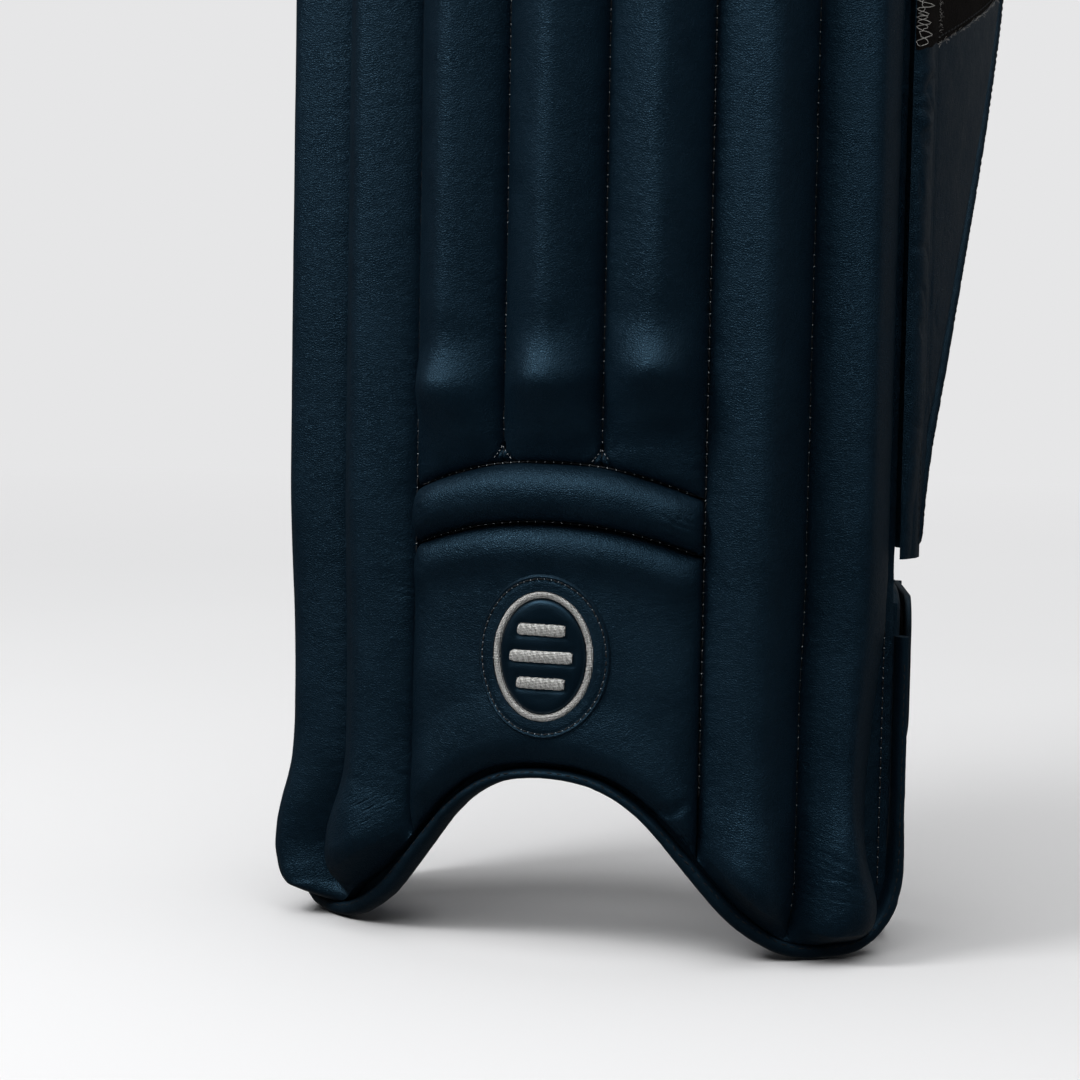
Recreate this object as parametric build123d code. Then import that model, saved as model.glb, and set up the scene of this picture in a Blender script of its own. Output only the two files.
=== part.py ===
"""Left-leg cricket batting pad: a curved, strapped shin guard with three
horizontal knee rolls and a thigh section (top hat).

The pad stands upright on its two feet.  +Z is up, the strike face looks
towards -Y, the outer side of the leg (the side with the calf wing) is +X.
All sizes are millimetres.  The front is laid out on a cylinder whose axis is
the wearer's leg: THETA is measured from -Y towards +X round that axis.
"""
from build123d import *
import math
import os

# ---------------------------------------------------------------- dimensions
R_LINER0, R_LINER1 = 160.4, 161.8      # inner fabric lining
R_BOARD0, R_BOARD1 = 161.9, 165.9      # curved backing board, 4 mm
R_BASE = 166.0                         # back of the stuffed rolls
R_VALLEY = 173.0                       # outer skin at a stitched valley
R_PEAK = 187.0                         # outer skin at the crest of a roll
SKIN = 1.3                             # soft leather skin
FOAM_GAP = 0.2                         # ease between a foam core and its cover
ROLL_DEG = 13.6                        # one vertical roll
SEAMS = [-47.6, -34.0, -20.4, -6.8, 6.8, 20.4, 34.0, 47.6]
EDGE_DEG = 47.6

Z_SHIN_TOP = 460.0
KNEE_H, KNEE_GAP = 44.0, 2.0           # three knee rolls
Z_HAT0, Z_HAT1 = 600.0, 800.0
R_KNEE0, R_KNEE1 = 166.0, 191.0
KNEE_DEG = 46.0
HINGE_Y = -150.0                       # fold lines of the knee
FOLD_DEG = 7.5                         # relief on each side of a fold line
RIM = 8.0                              # bound edge round the arch and the feet

BAND_LOW = [(0, 171), (22, 169.5), (42, 165), (63, 157.5)]
BAND_HIGH = [(0, 194.5), (22, 193), (42, 188), (63, 180)]
# outer edge of the bound rim, from the top of the instep arch to the foot
ARCH = [(0, 72), (12, 71), (22, 68), (32, 62), (42, 52.5), (52, 40), (62, 27),
        (72, 15), (82, 6.5), (91, 1.6), (99, 0)]
FOOT_CORNER = [(108, 0), (115, 3), (120.5, 9.5), (123.5, 19), (126, 34)]

WING_P = [(130.5, -108.0), (139.0, -40.0), (136.0, 22.0)]   # outer face in plan
WING_T = (1.5, 9.5, 1.5)               # skin, foam, mesh lining
WING_REAR = [(-99, 160), (-94, 190), (-82, 222), (-55, 281), (-19, 344),
             (9, 386), (20, 419), (22, 445), (16, 466), (4, 474)]
FLAP_REAR = [(-96, 176), (-84, 215), (-56, 280), (-24, 345), (4, 390),
             (19, 420), (22, 445), (16, 466), (4, 474)]
WING_FLEX_DEG = 7.0

KNEE_STRAP_Z = (400.0, 468.0)
ANKLE_STRAP_Z = (82.0, 142.0)
STRAP_T = 5.0                          # padded elastic band
HINGE_R = 2.5                          # rolled strap end at a sewn line
TAB_T, HOOK_T = 3.0, 1.5               # pull tab and its hook tape
PI2 = math.pi / 180.0

os.makedirs("parts", exist_ok=True)
parts = {}


# ------------------------------------------------------------------- helpers
def pp(r, deg, c=(0.0, 0.0)):
    """Point at radius r and angle deg from -Y towards +X about c."""
    a = deg * PI2
    return (c[0] + r * math.sin(a), c[1] - r * math.cos(a))


def sector_face(r0, r1, a0, a1, c=(0.0, 0.0)):
    m = (a0 + a1) / 2
    edges = [
        Line(pp(r0, a0, c), pp(r1, a0, c)),
        ThreePointArc(pp(r1, a0, c), pp(r1, m, c), pp(r1, a1, c)),
        Line(pp(r1, a1, c), pp(r0, a1, c)),
        ThreePointArc(pp(r0, a1, c), pp(r0, m, c), pp(r0, a0, c)),
    ]
    return make_face(Curve() + edges)


def prism_z(face, z0, z1):
    return extrude(Plane.XY.offset(z0) * face, amount=z1 - z0)


def sector(r0, r1, a0, a1, z0, z1, c=(0.0, 0.0)):
    return prism_z(sector_face(r0, r1, a0, a1, c), z0, z1)


def roll_face(a0, a1, base, valley, peak):
    """One stuffed channel: flat back on the board, domed front."""
    m = (a0 + a1) / 2
    edges = [
        Line(pp(base, a0), pp(valley, a0)),
        ThreePointArc(pp(valley, a0), pp(peak, m), pp(valley, a1)),
        Line(pp(valley, a1), pp(base, a1)),
        ThreePointArc(pp(base, a1), pp(base, m), pp(base, a0)),
    ]
    return make_face(Curve() + edges)


def shift_line(pts, d):
    """The half outline moved d towards the inside of the pad (up)."""
    out = []
    for i, p in enumerate(pts):
        a, b = pts[max(i - 1, 0)], pts[min(i + 1, len(pts) - 1)]
        tx, tz = b[0] - a[0], b[1] - a[1]
        n = math.hypot(tx, tz)
        if i == 0:
            tx, tz, n = 1.0, 0.0, 1.0
        out.append((p[0] - d * tz / n, p[1] + d * tx / n))
    return out


def mirrored(pts):
    return [(-x, z) for x, z in reversed(pts[1:])] + pts


def prism_y(pts_low, z_top, x_side):
    """Everything in front view above a curve, and below z_top."""
    low = mirrored(pts_low)
    xl, xr = low[0], low[-1]
    edges = [Spline(*low)]
    edges += Polyline(xr, (max(xr[0], x_side), xr[1]), (max(xr[0], x_side), z_top),
                      (min(xl[0], -x_side), z_top), (min(xl[0], -x_side), xl[1]), xl).edges() \
        if x_side > xr[0] else Polyline(xr, (xr[0], z_top), (xl[0], z_top), xl).edges()
    f = make_face(Curve() + edges)
    return extrude(Plane.XZ * f, amount=260, both=True)


def prism_x(pts, half=200):
    """A closed polygon given as (y, z), pushed along X both ways."""
    f = make_face(Polyline(*pts, close=True))
    return extrude(Plane.YZ * f, amount=half, both=True)


T = math.tan(FOLD_DEG * PI2)


def fold_mask(z0, z1, low=True, high=True):
    """Relief so that neighbours at a fold line don't meet behind it."""
    dy = 70.0
    return prism_x([(-230, z0), (HINGE_Y, z0), (HINGE_Y + dy, z0 + (dy * T if low else 0)),
                    (HINGE_Y + dy, z1 - (dy * T if high else 0)), (HINGE_Y, z1), (-230, z1)])


def circle3(a, b, c):
    ax, ay, bx, by, cx, cy = *a, *b, *c
    d = 2 * (ax * (by - cy) + bx * (cy - ay) + cx * (ay - by))
    ux = ((ax**2 + ay**2) * (by - cy) + (bx**2 + by**2) * (cy - ay) + (cx**2 + cy**2) * (ay - by)) / d
    uy = ((ax**2 + ay**2) * (cx - bx) + (bx**2 + by**2) * (ax - cx) + (cx**2 + cy**2) * (bx - ax)) / d
    return (ux, uy), math.hypot(ax - ux, ay - uy)


def one(shape):
    """The shape as plain solids."""
    s = list(shape.solids())
    return s[0] if len(s) == 1 else Compound(children=s)


def put(name, shape):
    parts[name] = one(shape)


def mirror_x(shape):
    return mirror(shape, about=Plane.YZ)


# ----------------------------------------------------------- shin: front face
RIM_OUT = ARCH + FOOT_CORNER
RIM_IN = shift_line(RIM_OUT, RIM)
ROLL_LOW = shift_line(RIM_OUT, RIM + 0.6)

shin_mask = fold_mask(-5, Z_SHIN_TOP, low=False)


def low_cut(pts, z_top=Z_SHIN_TOP, side=150):
    return prism_y(pts, z_top, side)


board_cut = low_cut(shift_line(RIM_OUT, RIM + 0.3), side=130)
put("shin_board", sector(R_BOARD0, R_BOARD1, -EDGE_DEG, EDGE_DEG, 0, Z_SHIN_TOP) & board_cut & shin_mask)
put("shin_liner", sector(R_LINER0, R_LINER1, -EDGE_DEG + 0.4, EDGE_DEG - 0.4, 0, Z_SHIN_TOP - 2)
    & board_cut & shin_mask)

# the bound rim: a rolled leather edge that hems the board round arch and feet
rim = sector(159.6, 174.0, -EDGE_DEG - 0.6, EDGE_DEG + 0.6, 0, 33) + \
    sector(159.6, 174.0, -26, 26, 20, 90)
rim = rim & prism_y(RIM_OUT, 100, 0) - prism_y(RIM_IN, 101, 0)
# it runs on up both sides of the ankle, to a square end
for sgn in (1, -1):
    side = [47.9, 49.4] if sgn > 0 else [-49.4, -47.9]
    rim = rim + sector(166.5, 174.0, *side, 18, 128)
put("foot_rim", rim)


def channels(seams, low, z_top, low_in, mask=None, top_in=SKIN):
    """Cover over several channels, and one foam core in each."""
    n = len(seams) - 1
    outer = None
    cav = []
    for i in range(n):
        a0, a1 = seams[i], seams[i + 1]
        f = roll_face(a0, a1, R_BASE, R_VALLEY, R_PEAK)
        s = prism_z(f, -5, z_top)
        outer = s if outer is None else outer + s
        ins = SKIN / 180.0 / PI2
        l = ins if i == 0 else ins / 2
        r = ins if i == n - 1 else ins / 2
        cav.append((a0 + l, a1 - r))
    outer = outer & low
    if mask is not None:
        outer = outer & mask
    cover = outer
    foams = []
    gapd = FOAM_GAP / 180.0 / PI2
    for a0, a1 in cav:
        c = prism_z(roll_face(a0, a1, R_BASE - 3, R_VALLEY - SKIN, R_PEAK - SKIN), -5, z_top - top_in) & low_in
        f = prism_z(roll_face(a0 + gapd, a1 - gapd, R_BASE + FOAM_GAP, R_VALLEY - SKIN - FOAM_GAP,
                              R_PEAK - SKIN - FOAM_GAP), -5, z_top - top_in - FOAM_GAP) & low_in
        if mask is not None:
            inner = Pos(0, 0, -SKIN) * mask
            c = c & inner
            f = f & inner
        cover = cover - c
        foams.append(f)
    return cover, foams


# centre panel: three channels that end on the instep band
cl = [(x, z + 0.5) for x, z in BAND_HIGH]
cover, foams = channels(SEAMS[2:6], low_cut(cl), Z_SHIN_TOP, low_cut([(x, z + SKIN + 0.2) for x, z in cl]), shin_mask)
put("centre_roll_cover", cover)
put("centre_roll_foam", Compound(children=[one(f) for f in foams]))

# two channels each side, down to the feet
rl = ROLL_LOW
rl_in = shift_line(RIM_OUT, RIM + 0.6 + SKIN)
for tag, sm in (("inner", SEAMS[0:3]), ("outer", SEAMS[5:8])):
    half = low_cut(rl)
    cover, foams = channels(sm, half, Z_SHIN_TOP, low_cut(rl_in), shin_mask)
    put(f"{tag}_side_roll_cover", cover)
    put(f"{tag}_side_roll_foam", Compound(children=[one(f) for f in foams]))

# instep band: one stuffed half-round across the panel
EB = 20.3
band_c = sector(R_BASE, 184.5, -EB, EB, 140, 200)
lowc = prism_y([(x, z + 0.3) for x, z in BAND_LOW], 260, 150)
highc = prism_y([(x, z - 0.3) for x, z in BAND_HIGH], 260, 150)
band_c = band_c & lowc - highc
band_i = sector(R_BASE - 3, 184.5 - SKIN, -EB + .45, EB - .45, 140, 200) & \
    prism_y([(x, z + 0.3 + SKIN) for x, z in BAND_LOW], 260, 150) - \
    prism_y([(x, z - 0.3 - SKIN) for x, z in BAND_HIGH], 260, 150)
band_f = sector(R_BASE + .2, 184.5 - SKIN - .2, -EB + .52, EB - .52, 140, 200) & \
    prism_y([(x, z + 0.5 + SKIN) for x, z in BAND_LOW], 260, 150) - \
    prism_y([(x, z - 0.5 - SKIN) for x, z in BAND_HIGH], 260, 150)
put("instep_band_cover", band_c - band_i)
put("instep_band_foam", band_f)

# instep panel over the arch
R_PANEL = 179.5
pan_top = prism_y([(x, z - 0.3) for x, z in BAND_LOW], 260, 150)
arch_low = prism_y(shift_line(ARCH, RIM + 0.6), 200, 150)
pan = sector(R_BASE, R_PANEL, -EB, EB, 20, 175) & arch_low - pan_top
pan_i = sector(R_BASE - 3, R_PANEL - SKIN, -EB + .45, EB - .45, 20, 175) & \
    prism_y(shift_line(ARCH, RIM + 0.6 + SKIN), 200, 150) - \
    prism_y([(x, z - 0.3 - SKIN) for x, z in BAND_LOW], 260, 150)
pan_f = sector(R_BASE + .2, R_PANEL - SKIN - .2, -EB + .52, EB - .52, 20, 175) & \
    prism_y(shift_line(ARCH, RIM + 0.8 + SKIN), 200, 150) - \
    prism_y([(x, z - 0.5 - SKIN) for x, z in BAND_LOW], 260, 150)
put("instep_panel_cover", pan - pan_i)
put("instep_panel_foam", pan_f)

# plain oval patch on the panel: raised pad, metallic ring, three metallic bars
BZ, BA, BB = 119.0, 20.5, 25.5


def oval(a, b, r0, r1):
    e = Plane.XZ * (Pos(0, BZ) * Ellipse(a, b))
    return extrude(e, amount=260) & sector(r0, r1, -12, 12, BZ - 40, BZ + 40)


put("patch_pad", oval(BA - 2.6, BB - 2.6, R_PANEL + .02, R_PANEL + 2.4))
put("patch_ring", oval(BA, BB, R_PANEL + .02, R_PANEL + 2.2) - oval(BA - 2.4, BB - 2.4, R_PANEL - 2, R_PANEL + 4))
bars = []
for dz, hw in ((10.5, 9.5), (0.0, 12.5), (-10.5, 9.5)):
    b = extrude(Plane.XZ * (Pos(0, BZ + dz) * RectangleRounded(2 * hw, 4.6, 2.2)), amount=260)
    bars.append(one(b & sector(R_PANEL + 2.42, R_PANEL + 3.4, -12, 12, BZ - 30, BZ + 30)))
put("patch_bars", Compound(children=bars))


# --------------------------------------------------------------- shin: inside
def ellipse_at(z, c, a, b, ang, k=1.0):
    return Plane.XY.offset(z) * (Pos(c[0], c[1]) * (Rot(0, 0, ang) * Ellipse(a * k, b * k)))


def bolster(ins=0.0):
    """Long side cushion, slimmer towards the ankle, rounded at both ends."""
    rows = []
    z0, z1 = 46.0 + ins, 440.0 - ins
    for t, k in ((0.0, 0.62), (5, 0.82), (16, 0.95), (34, 1.0)):
        rows.append((z0 + t, k))
    for t, k in ((34, 1.0), (16, 0.95), (5, 0.82), (0, 0.62)):
        rows.append((z1 - t, k))
    secs = []
    for z, k in rows:
        u = min(max((z - 120.0) / 200.0, 0), 1)
        c = (80.0 + 4.0 * u, -116.5 + 12.5 * u)
        secs.append(ellipse_at(z, c, 38 + 12 * u - ins, 17 + 2 * u - ins, 55, k))
    # straight stretch broken where the taper starts and ends
    for z in (120.0, 320.0):
        u = min(max((z - 120.0) / 200.0, 0), 1)
        c = (80.0 + 4.0 * u, -116.5 + 12.5 * u)
        secs.append(ellipse_at(z, c, 38 + 12 * u - ins, 17 + 2 * u - ins, 55, 1.0))
    secs.sort(key=lambda s: s.center().Z)
    return loft(secs, ruled=True) & prism_z(Circle(R_LINER0 - 1.0 - ins), -1, 445)


bo, bi, bf = bolster(0), bolster(1.2), bolster(1.5)
put("outer_bolster_cover", bo - bi)
put("outer_bolster_foam", bf)
put("inner_bolster_cover", mirror_x(bo - bi))
put("inner_bolster_foam", mirror_x(bf))

# foot gussets: leather side walls behind the side rolls, by the ankle
G0, G1 = (127.6, -110.4), (108.5, -48.5)
gl = math.hypot(G1[0] - G0[0], G1[1] - G0[1])
gd = ((G1[0] - G0[0]) / gl, (G1[1] - G0[1]) / gl)
gn = (gd[1], -gd[0])                    # outward normal


def gpt(t, n):
    return (G0[0] + gd[0] * t + gn[0] * n, G0[1] + gd[1] * t + gn[1] * n)


def gplate(t0, t1, n0, n1, z0, z1):
    f = make_face(Polyline(gpt(t0, n0), gpt(t1, n0), gpt(t1, n1), gpt(t0, n1), close=True))
    return prism_z(f, z0, z1)


gus = gplate(5.5, gl, -4, 0, 0, 150) & prism_x([(-120, 0), (-80, 0), (-62, 8), (-52, 26), (-40, 60), (-40, 146),
                                               (-100, 146), (-120, 132)])
put("outer_gusset", gus)
put("inner_gusset", mirror_x(gus))

# ------------------------------------------------------- calf wing and flap
WC, WR = circle3(*WING_P)


def wang(y):
    """Angle on the wing's own circle for a given y."""
    return 90 + math.degrees(math.asin((y - WC[1]) / WR))


def wsec(r0, r1, y0, y1, z0, z1):
    return sector(WR + r0, WR + r1, wang(y0), wang(y1), z0, z1, WC)


def side_outline(rear, d=0.0):
    front = [(-107, 160 if rear is WING_REAR else 176), (-107, 436), (-95, 446), (-92, 474)]
    pts = shift_side(rear, d)
    return [front[0]] + pts + front[:0:-1]


def shift_side(rear, d):
    out = []
    for i, p in enumerate(rear):
        a, b = rear[max(i - 1, 0)], rear[min(i + 1, len(rear) - 1)]
        ty, tz = b[0] - a[0], b[1] - a[1]
        n = math.hypot(ty, tz)
        out.append((p[0] - d * tz / n, p[1] + d * ty / n))
    return out


def wing(rear, d=0.0):
    pts = side_outline(rear, d)
    return prism_x(pts)


t1, t2, t3 = WING_T
tt = t1 + t2 + t3
BIND = 5.0
w_in = wing(WING_REAR, BIND + 0.2) & wing(WING_REAR, 0)
w_all = wing(WING_REAR, 0)
skin = wsec(-t1, 0, -107, 40, 140, 480) & w_in
loop_cut = prism_x([(-120, 354), (30, 397), (30, 500), (-120, 500)])
put("wing_skin", skin - loop_cut)
put("wing_loop_panel", skin & Pos(0, 0, 0.2) * loop_cut)
put("wing_foam", wsec(-t1 - t2 + .1, -t1 - .1, -107, 40, 140, 480) & w_in)
put("wing_mesh_lining", wsec(-tt, -t1 - t2, -107, 40, 140, 480) & w_in)
put("wing_edge_binding", (wsec(-tt - .6, .6, -107, 40, 140, 480) & w_all) - wing(WING_REAR, BIND))

f_in = wing(FLAP_REAR, BIND + 0.2) & wing(FLAP_REAR, 0)
f_all = wing(FLAP_REAR, 0)
put("flap_skin", mirror_x(wsec(-t1, 0, -107, 40, 140, 480) & f_in))
put("flap_foam", mirror_x(wsec(-t1 - t2 + .1, -t1 - .1, -107, 40, 140, 480) & f_in))
put("flap_mesh_lining", mirror_x(wsec(-tt, -t1 - t2, -107, 40, 140, 480) & f_in))
put("flap_edge_binding", mirror_x((wsec(-tt - .6, .6, -107, 40, 140, 480) & f_all) - wing(FLAP_REAR, BIND)))

# ------------------------------------------------------------------- straps
# knee strap: sewn to the flap, round the back, fastened on the wing's outside
rk = 0.7 + HOOK_T + TAB_T / 2
KY = 36.0
kang = wang(KY)
KH = pp(WR + rk, kang, WC)              # rolled end at the tab
KA = (-KH[0], KH[1])                    # rolled end at the anchor
KSAG = 56.0
KR = (KH[0]**2 + KSAG**2) / (2 * KSAG)
KC = (0.0, KH[1] + KSAG - KR)
kb = math.degrees(math.asin(KH[0] / KR))
gap = math.degrees((HINGE_R + 0.6) / KR)
z0, z1 = KNEE_STRAP_Z


def strap(c, r, half, gapdeg, anchor, z0, z1, t, dz=0.0):
    """Band from its rolled end at the anchor to just short of the tab's."""
    s = sector(r - t / 2, r + t / 2, 180 - half + gapdeg, 180 + half, z0 + dz, z1 - dz, c)
    return s


def rod(p, r, z0, z1):
    return prism_z(Pos(p[0], p[1]) * Circle(r), z0, z1)


EDGE_W = 4.0
band = strap(KC, KR, kb, gap, KA, z0, z1, STRAP_T, EDGE_W + .05) + rod(KA, HINGE_R, z0 + EDGE_W + .05, z1 - EDGE_W - .05)
put("knee_strap_band", band)
e1 = strap(KC, KR, kb - 1.2, gap, KA, z0, z0 + EDGE_W, STRAP_T + 1.0)
e2 = strap(KC, KR, kb - 1.2, gap, KA, z1 - EDGE_W, z1, STRAP_T + 1.0)
put("knee_strap_piping", Compound(children=[one(e1), one(e2)]))
tab_y0 = -48.0
tab = sector(WR + rk - TAB_T / 2, WR + rk + TAB_T / 2, wang(tab_y0), kang, z0, z1, WC) + rod(KH, HINGE_R - .3, z0, z1)
put("knee_strap_tab", tab)
put("knee_strap_hook", sector(WR + rk - TAB_T / 2 - HOOK_T, WR + rk - TAB_T / 2 - .02, wang(tab_y0 + 5),
                              wang(11), z0 + 5, z1 - 5, WC))
put("knee_strap_grip_patch", sector(WR + rk + TAB_T / 2 + .02, WR + rk + TAB_T / 2 + 1.4, wang(tab_y0 + 4),
                                    wang(2), z0 + 8, z1 - 8, WC))
anch = mirror_x(sector(WR + 0.65, WR + 3.65, wang(-30), wang(KY - 3.4), z0 + 3, z1 - 3, WC))
put("knee_strap_anchor", anch)

# ankle strap: sewn to the inner gusset, fastened on the outer gusset
za0, za1 = ANKLE_STRAP_Z
AN = 0.5 + HOOK_T + TAB_T / 2
AH = gpt(gl + 5.0, AN)
AA = (-AH[0], AH[1])
ASAG = 42.0
AR = (AH[0]**2 + ASAG**2) / (2 * ASAG)
AC = (0.0, AH[1] + ASAG - AR)
ab = math.degrees(math.asin(AH[0] / AR))
agap = math.degrees((HINGE_R + 0.6) / AR)
band = strap(AC, AR, ab, agap, AA, za0, za1, STRAP_T, EDGE_W + .05) + rod(AA, HINGE_R, za0 + EDGE_W + .05, za1 - EDGE_W - .05)
put("ankle_strap_band", band)
e1 = strap(AC, AR, ab - 1.4, agap, AA, za0, za0 + EDGE_W, STRAP_T + 1.0)
e2 = strap(AC, AR, ab - 1.4, agap, AA, za1 - EDGE_W, za1, STRAP_T + 1.0)
put("ankle_strap_piping", Compound(children=[one(e1), one(e2)]))
tab = gplate(10, gl + 5.0, AN - TAB_T / 2, AN + TAB_T / 2, za0, za1) + rod(AH, HINGE_R - .3, za0, za1)
put("ankle_strap_tab", tab)
put("ankle_strap_hook", gplate(14, gl - 4, AN - TAB_T / 2 - HOOK_T + .05, AN - TAB_T / 2 - .02, za0 + 5, za1 - 5))
put("ankle_strap_anchor", mirror_x(gplate(20, gl + 1.6, .1, 3.1, za0 + 3, za1 - 3)))
put("ankle_loop_patch", gplate(12, gl - 3, 0.02, 0.4, za0 + 4, za1 - 4))

# ---------------------------------------------------------------- knee rolls
names = ["lower", "middle", "upper"]
for i, nm in enumerate(names):
    zb = Z_SHIN_TOP + 2 + i * (KNEE_H + KNEE_GAP)
    zt = zb + KNEE_H

    def krow(d, base, r1, deg):
        zm = (zb + zt) / 2
        rc = 175.0 - 0.5 * d
        f = make_face(Curve() + [
            Line((base, zb + d), (rc, zb + d)),
            Spline((rc, zb + d), (186.0 - 0.8 * d, zb + 8 + 0.6 * d), (r1 - d, zm),
                   (186.0 - 0.8 * d, zt - 8 - 0.6 * d), (rc, zt - d)),
            Line((rc, zt - d), (base, zt - d)), Line((base, zt - d), (base, zb + d))])
        s = revolve(Plane.XZ * f, axis=Axis.Z, revolution_arc=2 * deg)
        s = Rot(0, 0, -deg - 90) * s
        m = prism_x([(-230, zb - 2), (HINGE_Y - 12, zb - 2), (HINGE_Y, zb + d), (HINGE_Y + 70, zb + d + 70 * T),
                     (HINGE_Y + 70, zt - d - 70 * T), (HINGE_Y, zt - d), (HINGE_Y - 12, zt + 2), (-230, zt + 2)])
        return s & m

    out = krow(0, R_KNEE0, R_KNEE1, KNEE_DEG)
    inn = krow(SKIN, R_KNEE0 - 3, R_KNEE1, KNEE_DEG - .45)
    fo = krow(SKIN + .2, R_KNEE0 + .2, R_KNEE1, KNEE_DEG - .52)
    put(f"knee_roll_{nm}_cover", out - inn)
    put(f"knee_roll_{nm}_foam", fo)
    m = fold_mask(zb, zt)
    put(f"knee_roll_{nm}_backing", sector(R_LINER0, R_BASE - .1, -KNEE_DEG + 1, KNEE_DEG - 1, zb, zt) & m)
    pads = []
    for a0, a1 in ((13, 40), (-40, -13)):
        q = sector(148.5, R_LINER0 - .1, a0, a1, zb + 1, zt - 1) & m
        pads.append(one(q))
    put(f"knee_cup_{nm}_pad", Compound(children=pads))

# ------------------------------------------------------------------- top hat
HAT_TOP = [(0, 800), (40, 797), (78, 788), (104, 772), (120, 748), (128, 715)]


def hat_mask(d, z0=Z_HAT0 - 5):
    pts = [(x, z) for x, z in HAT_TOP]
    sh = []
    for i, p in enumerate(pts):
        a, b = pts[max(i - 1, 0)], pts[min(i + 1, len(pts) - 1)]
        tx, tz = b[0] - a[0], b[1] - a[1]
        n = math.hypot(tx, tz)
        if i == 0:
            tx, tz, n = 1.0, 0.0, 1.0
        sh.append((p[0] + d * tz / n, p[1] - d * tx / n))
    top = [(-x, z) for x, z in reversed(sh[1:])] + sh
    edges = [Spline(*top)]
    edges += Polyline(top[-1], (top[-1][0], z0), (top[0][0], z0), top[0]).edges()
    return extrude(Plane.XZ * make_face(Curve() + edges), amount=260, both=True)


hm = prism_x([(-230, Z_HAT0), (HINGE_Y, Z_HAT0), (HINGE_Y + 70, Z_HAT0 + 70 * T), (HINGE_Y + 70, 820), (-230, 820)])
hm_in = Pos(0, 0, SKIN) * hm
side_open = 6.0
outer = None
for i in range(7):
    s = prism_z(roll_face(SEAMS[i], SEAMS[i + 1], R_BASE, R_VALLEY, R_PEAK), Z_HAT0, 802)
    outer = s if outer is None else outer + s
outer = outer & hat_mask(RIM + .6) & hm
cover = outer
foams = []
for i in range(7):
    ins = SKIN / 180.0 / PI2
    l = ins if i == 0 else ins / 2
    r = ins if i == 6 else ins / 2
    gd_ = FOAM_GAP / 180 / PI2
    c = prism_z(roll_face(SEAMS[i] + l, SEAMS[i + 1] - r, R_BASE - 3, R_VALLEY - SKIN, R_PEAK - SKIN), Z_HAT0, 802) \
        & hat_mask(RIM + .6 + SKIN) & hm_in
    f = prism_z(roll_face(SEAMS[i] + l + gd_, SEAMS[i + 1] - r - gd_, R_BASE + FOAM_GAP,
                          R_VALLEY - SKIN - FOAM_GAP, R_PEAK - SKIN - FOAM_GAP), Z_HAT0, 802) \
        & hat_mask(RIM + .8 + SKIN) & (Pos(0, 0, SKIN + .2) * hm)
    cover = cover - c
    foams.append(one(f))
put("top_hat_cover", cover)
put("top_hat_foam", Compound(children=foams))
put("top_hat_board", sector(R_BOARD0, R_BOARD1, -EDGE_DEG, EDGE_DEG, Z_HAT0, 802) & hat_mask(RIM + .2) & hm)
put("top_hat_liner", sector(R_LINER0, R_LINER1, -EDGE_DEG + .4, EDGE_DEG - .4, Z_HAT0, 802) & hat_mask(RIM + .2) & hm)
hat_rim = sector(159.6, 172.0, -EDGE_DEG - .6, EDGE_DEG + .6, 712, 802)
put("top_hat_rim", (hat_rim & hat_mask(0)) - hat_mask(RIM))

# --------------------------------------- put the origin under the box's centre
lo = [1e9] * 3
hi = [-1e9] * 3
for s in parts.values():
    b = s.bounding_box()
    for k, (a, c) in enumerate(zip(tuple(b.min), tuple(b.max))):
        lo[k] = min(lo[k], a)
        hi[k] = max(hi[k], c)
dx, dy, dz = -(lo[0] + hi[0]) / 2, -(lo[1] + hi[1]) / 2, -lo[2]
print("box", [round(h - l, 2) for l, h in zip(lo, hi)], "shift", round(dx, 3), round(dy, 3), round(dz, 3))
print("wing circle", [round(v, 2) for v in WC], round(WR, 2))


def moved(p):
    return [round((p[0] + dx) / 1000, 6), round((p[1] + dy) / 1000, 6)]


print("knee strap swing", moved(KA), "peel", moved(KH), "ankle swing", moved(AA), "peel", moved(AH))
wh = pp(WR - tt / 2, wang(-107), WC)
print("wing hinge", moved(wh), "knee hinge y", round((HINGE_Y + dy) / 1000, 6))
for name, s in parts.items():
    s = Pos(dx, dy, dz) * s
    export_step(s, f"parts/{name}.step")
print(len(parts), "nodes")
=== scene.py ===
import math

import bpy
import numpy as np
from mathutils import Matrix, Vector


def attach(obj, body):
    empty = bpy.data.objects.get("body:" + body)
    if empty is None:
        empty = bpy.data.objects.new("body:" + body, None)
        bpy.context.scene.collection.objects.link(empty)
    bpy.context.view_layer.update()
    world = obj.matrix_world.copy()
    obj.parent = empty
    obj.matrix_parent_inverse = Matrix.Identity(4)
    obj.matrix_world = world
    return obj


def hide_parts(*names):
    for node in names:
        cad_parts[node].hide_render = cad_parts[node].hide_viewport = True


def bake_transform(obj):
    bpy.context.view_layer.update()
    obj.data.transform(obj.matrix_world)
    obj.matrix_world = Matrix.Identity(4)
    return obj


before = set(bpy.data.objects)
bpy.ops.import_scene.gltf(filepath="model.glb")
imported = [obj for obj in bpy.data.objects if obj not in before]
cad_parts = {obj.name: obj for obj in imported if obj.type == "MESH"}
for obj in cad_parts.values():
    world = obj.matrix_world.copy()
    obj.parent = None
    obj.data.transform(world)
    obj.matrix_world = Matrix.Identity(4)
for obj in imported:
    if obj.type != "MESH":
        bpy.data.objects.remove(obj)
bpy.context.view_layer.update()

# ------------------------------------------------------------------ the frame
# Everything is laid out in millimetres on the leg's own axis (the CAD's local
# axes) and moved into the row frame when a mesh is made.
SX, SY = -1.475, 47.691
SEAMS = [-47.6, -34.0, -20.4, -6.8, 6.8, 20.4, 34.0, 47.6]
HALF = 6.8
R_SEAM, ROLL_H = 173.0, 14.3
Z_TOP = 460.0
EB = 20.35
RIM = 8.0
BAND_LOW = [(0, 171), (22, 169.5), (42, 165), (63, 157.5)]
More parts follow.
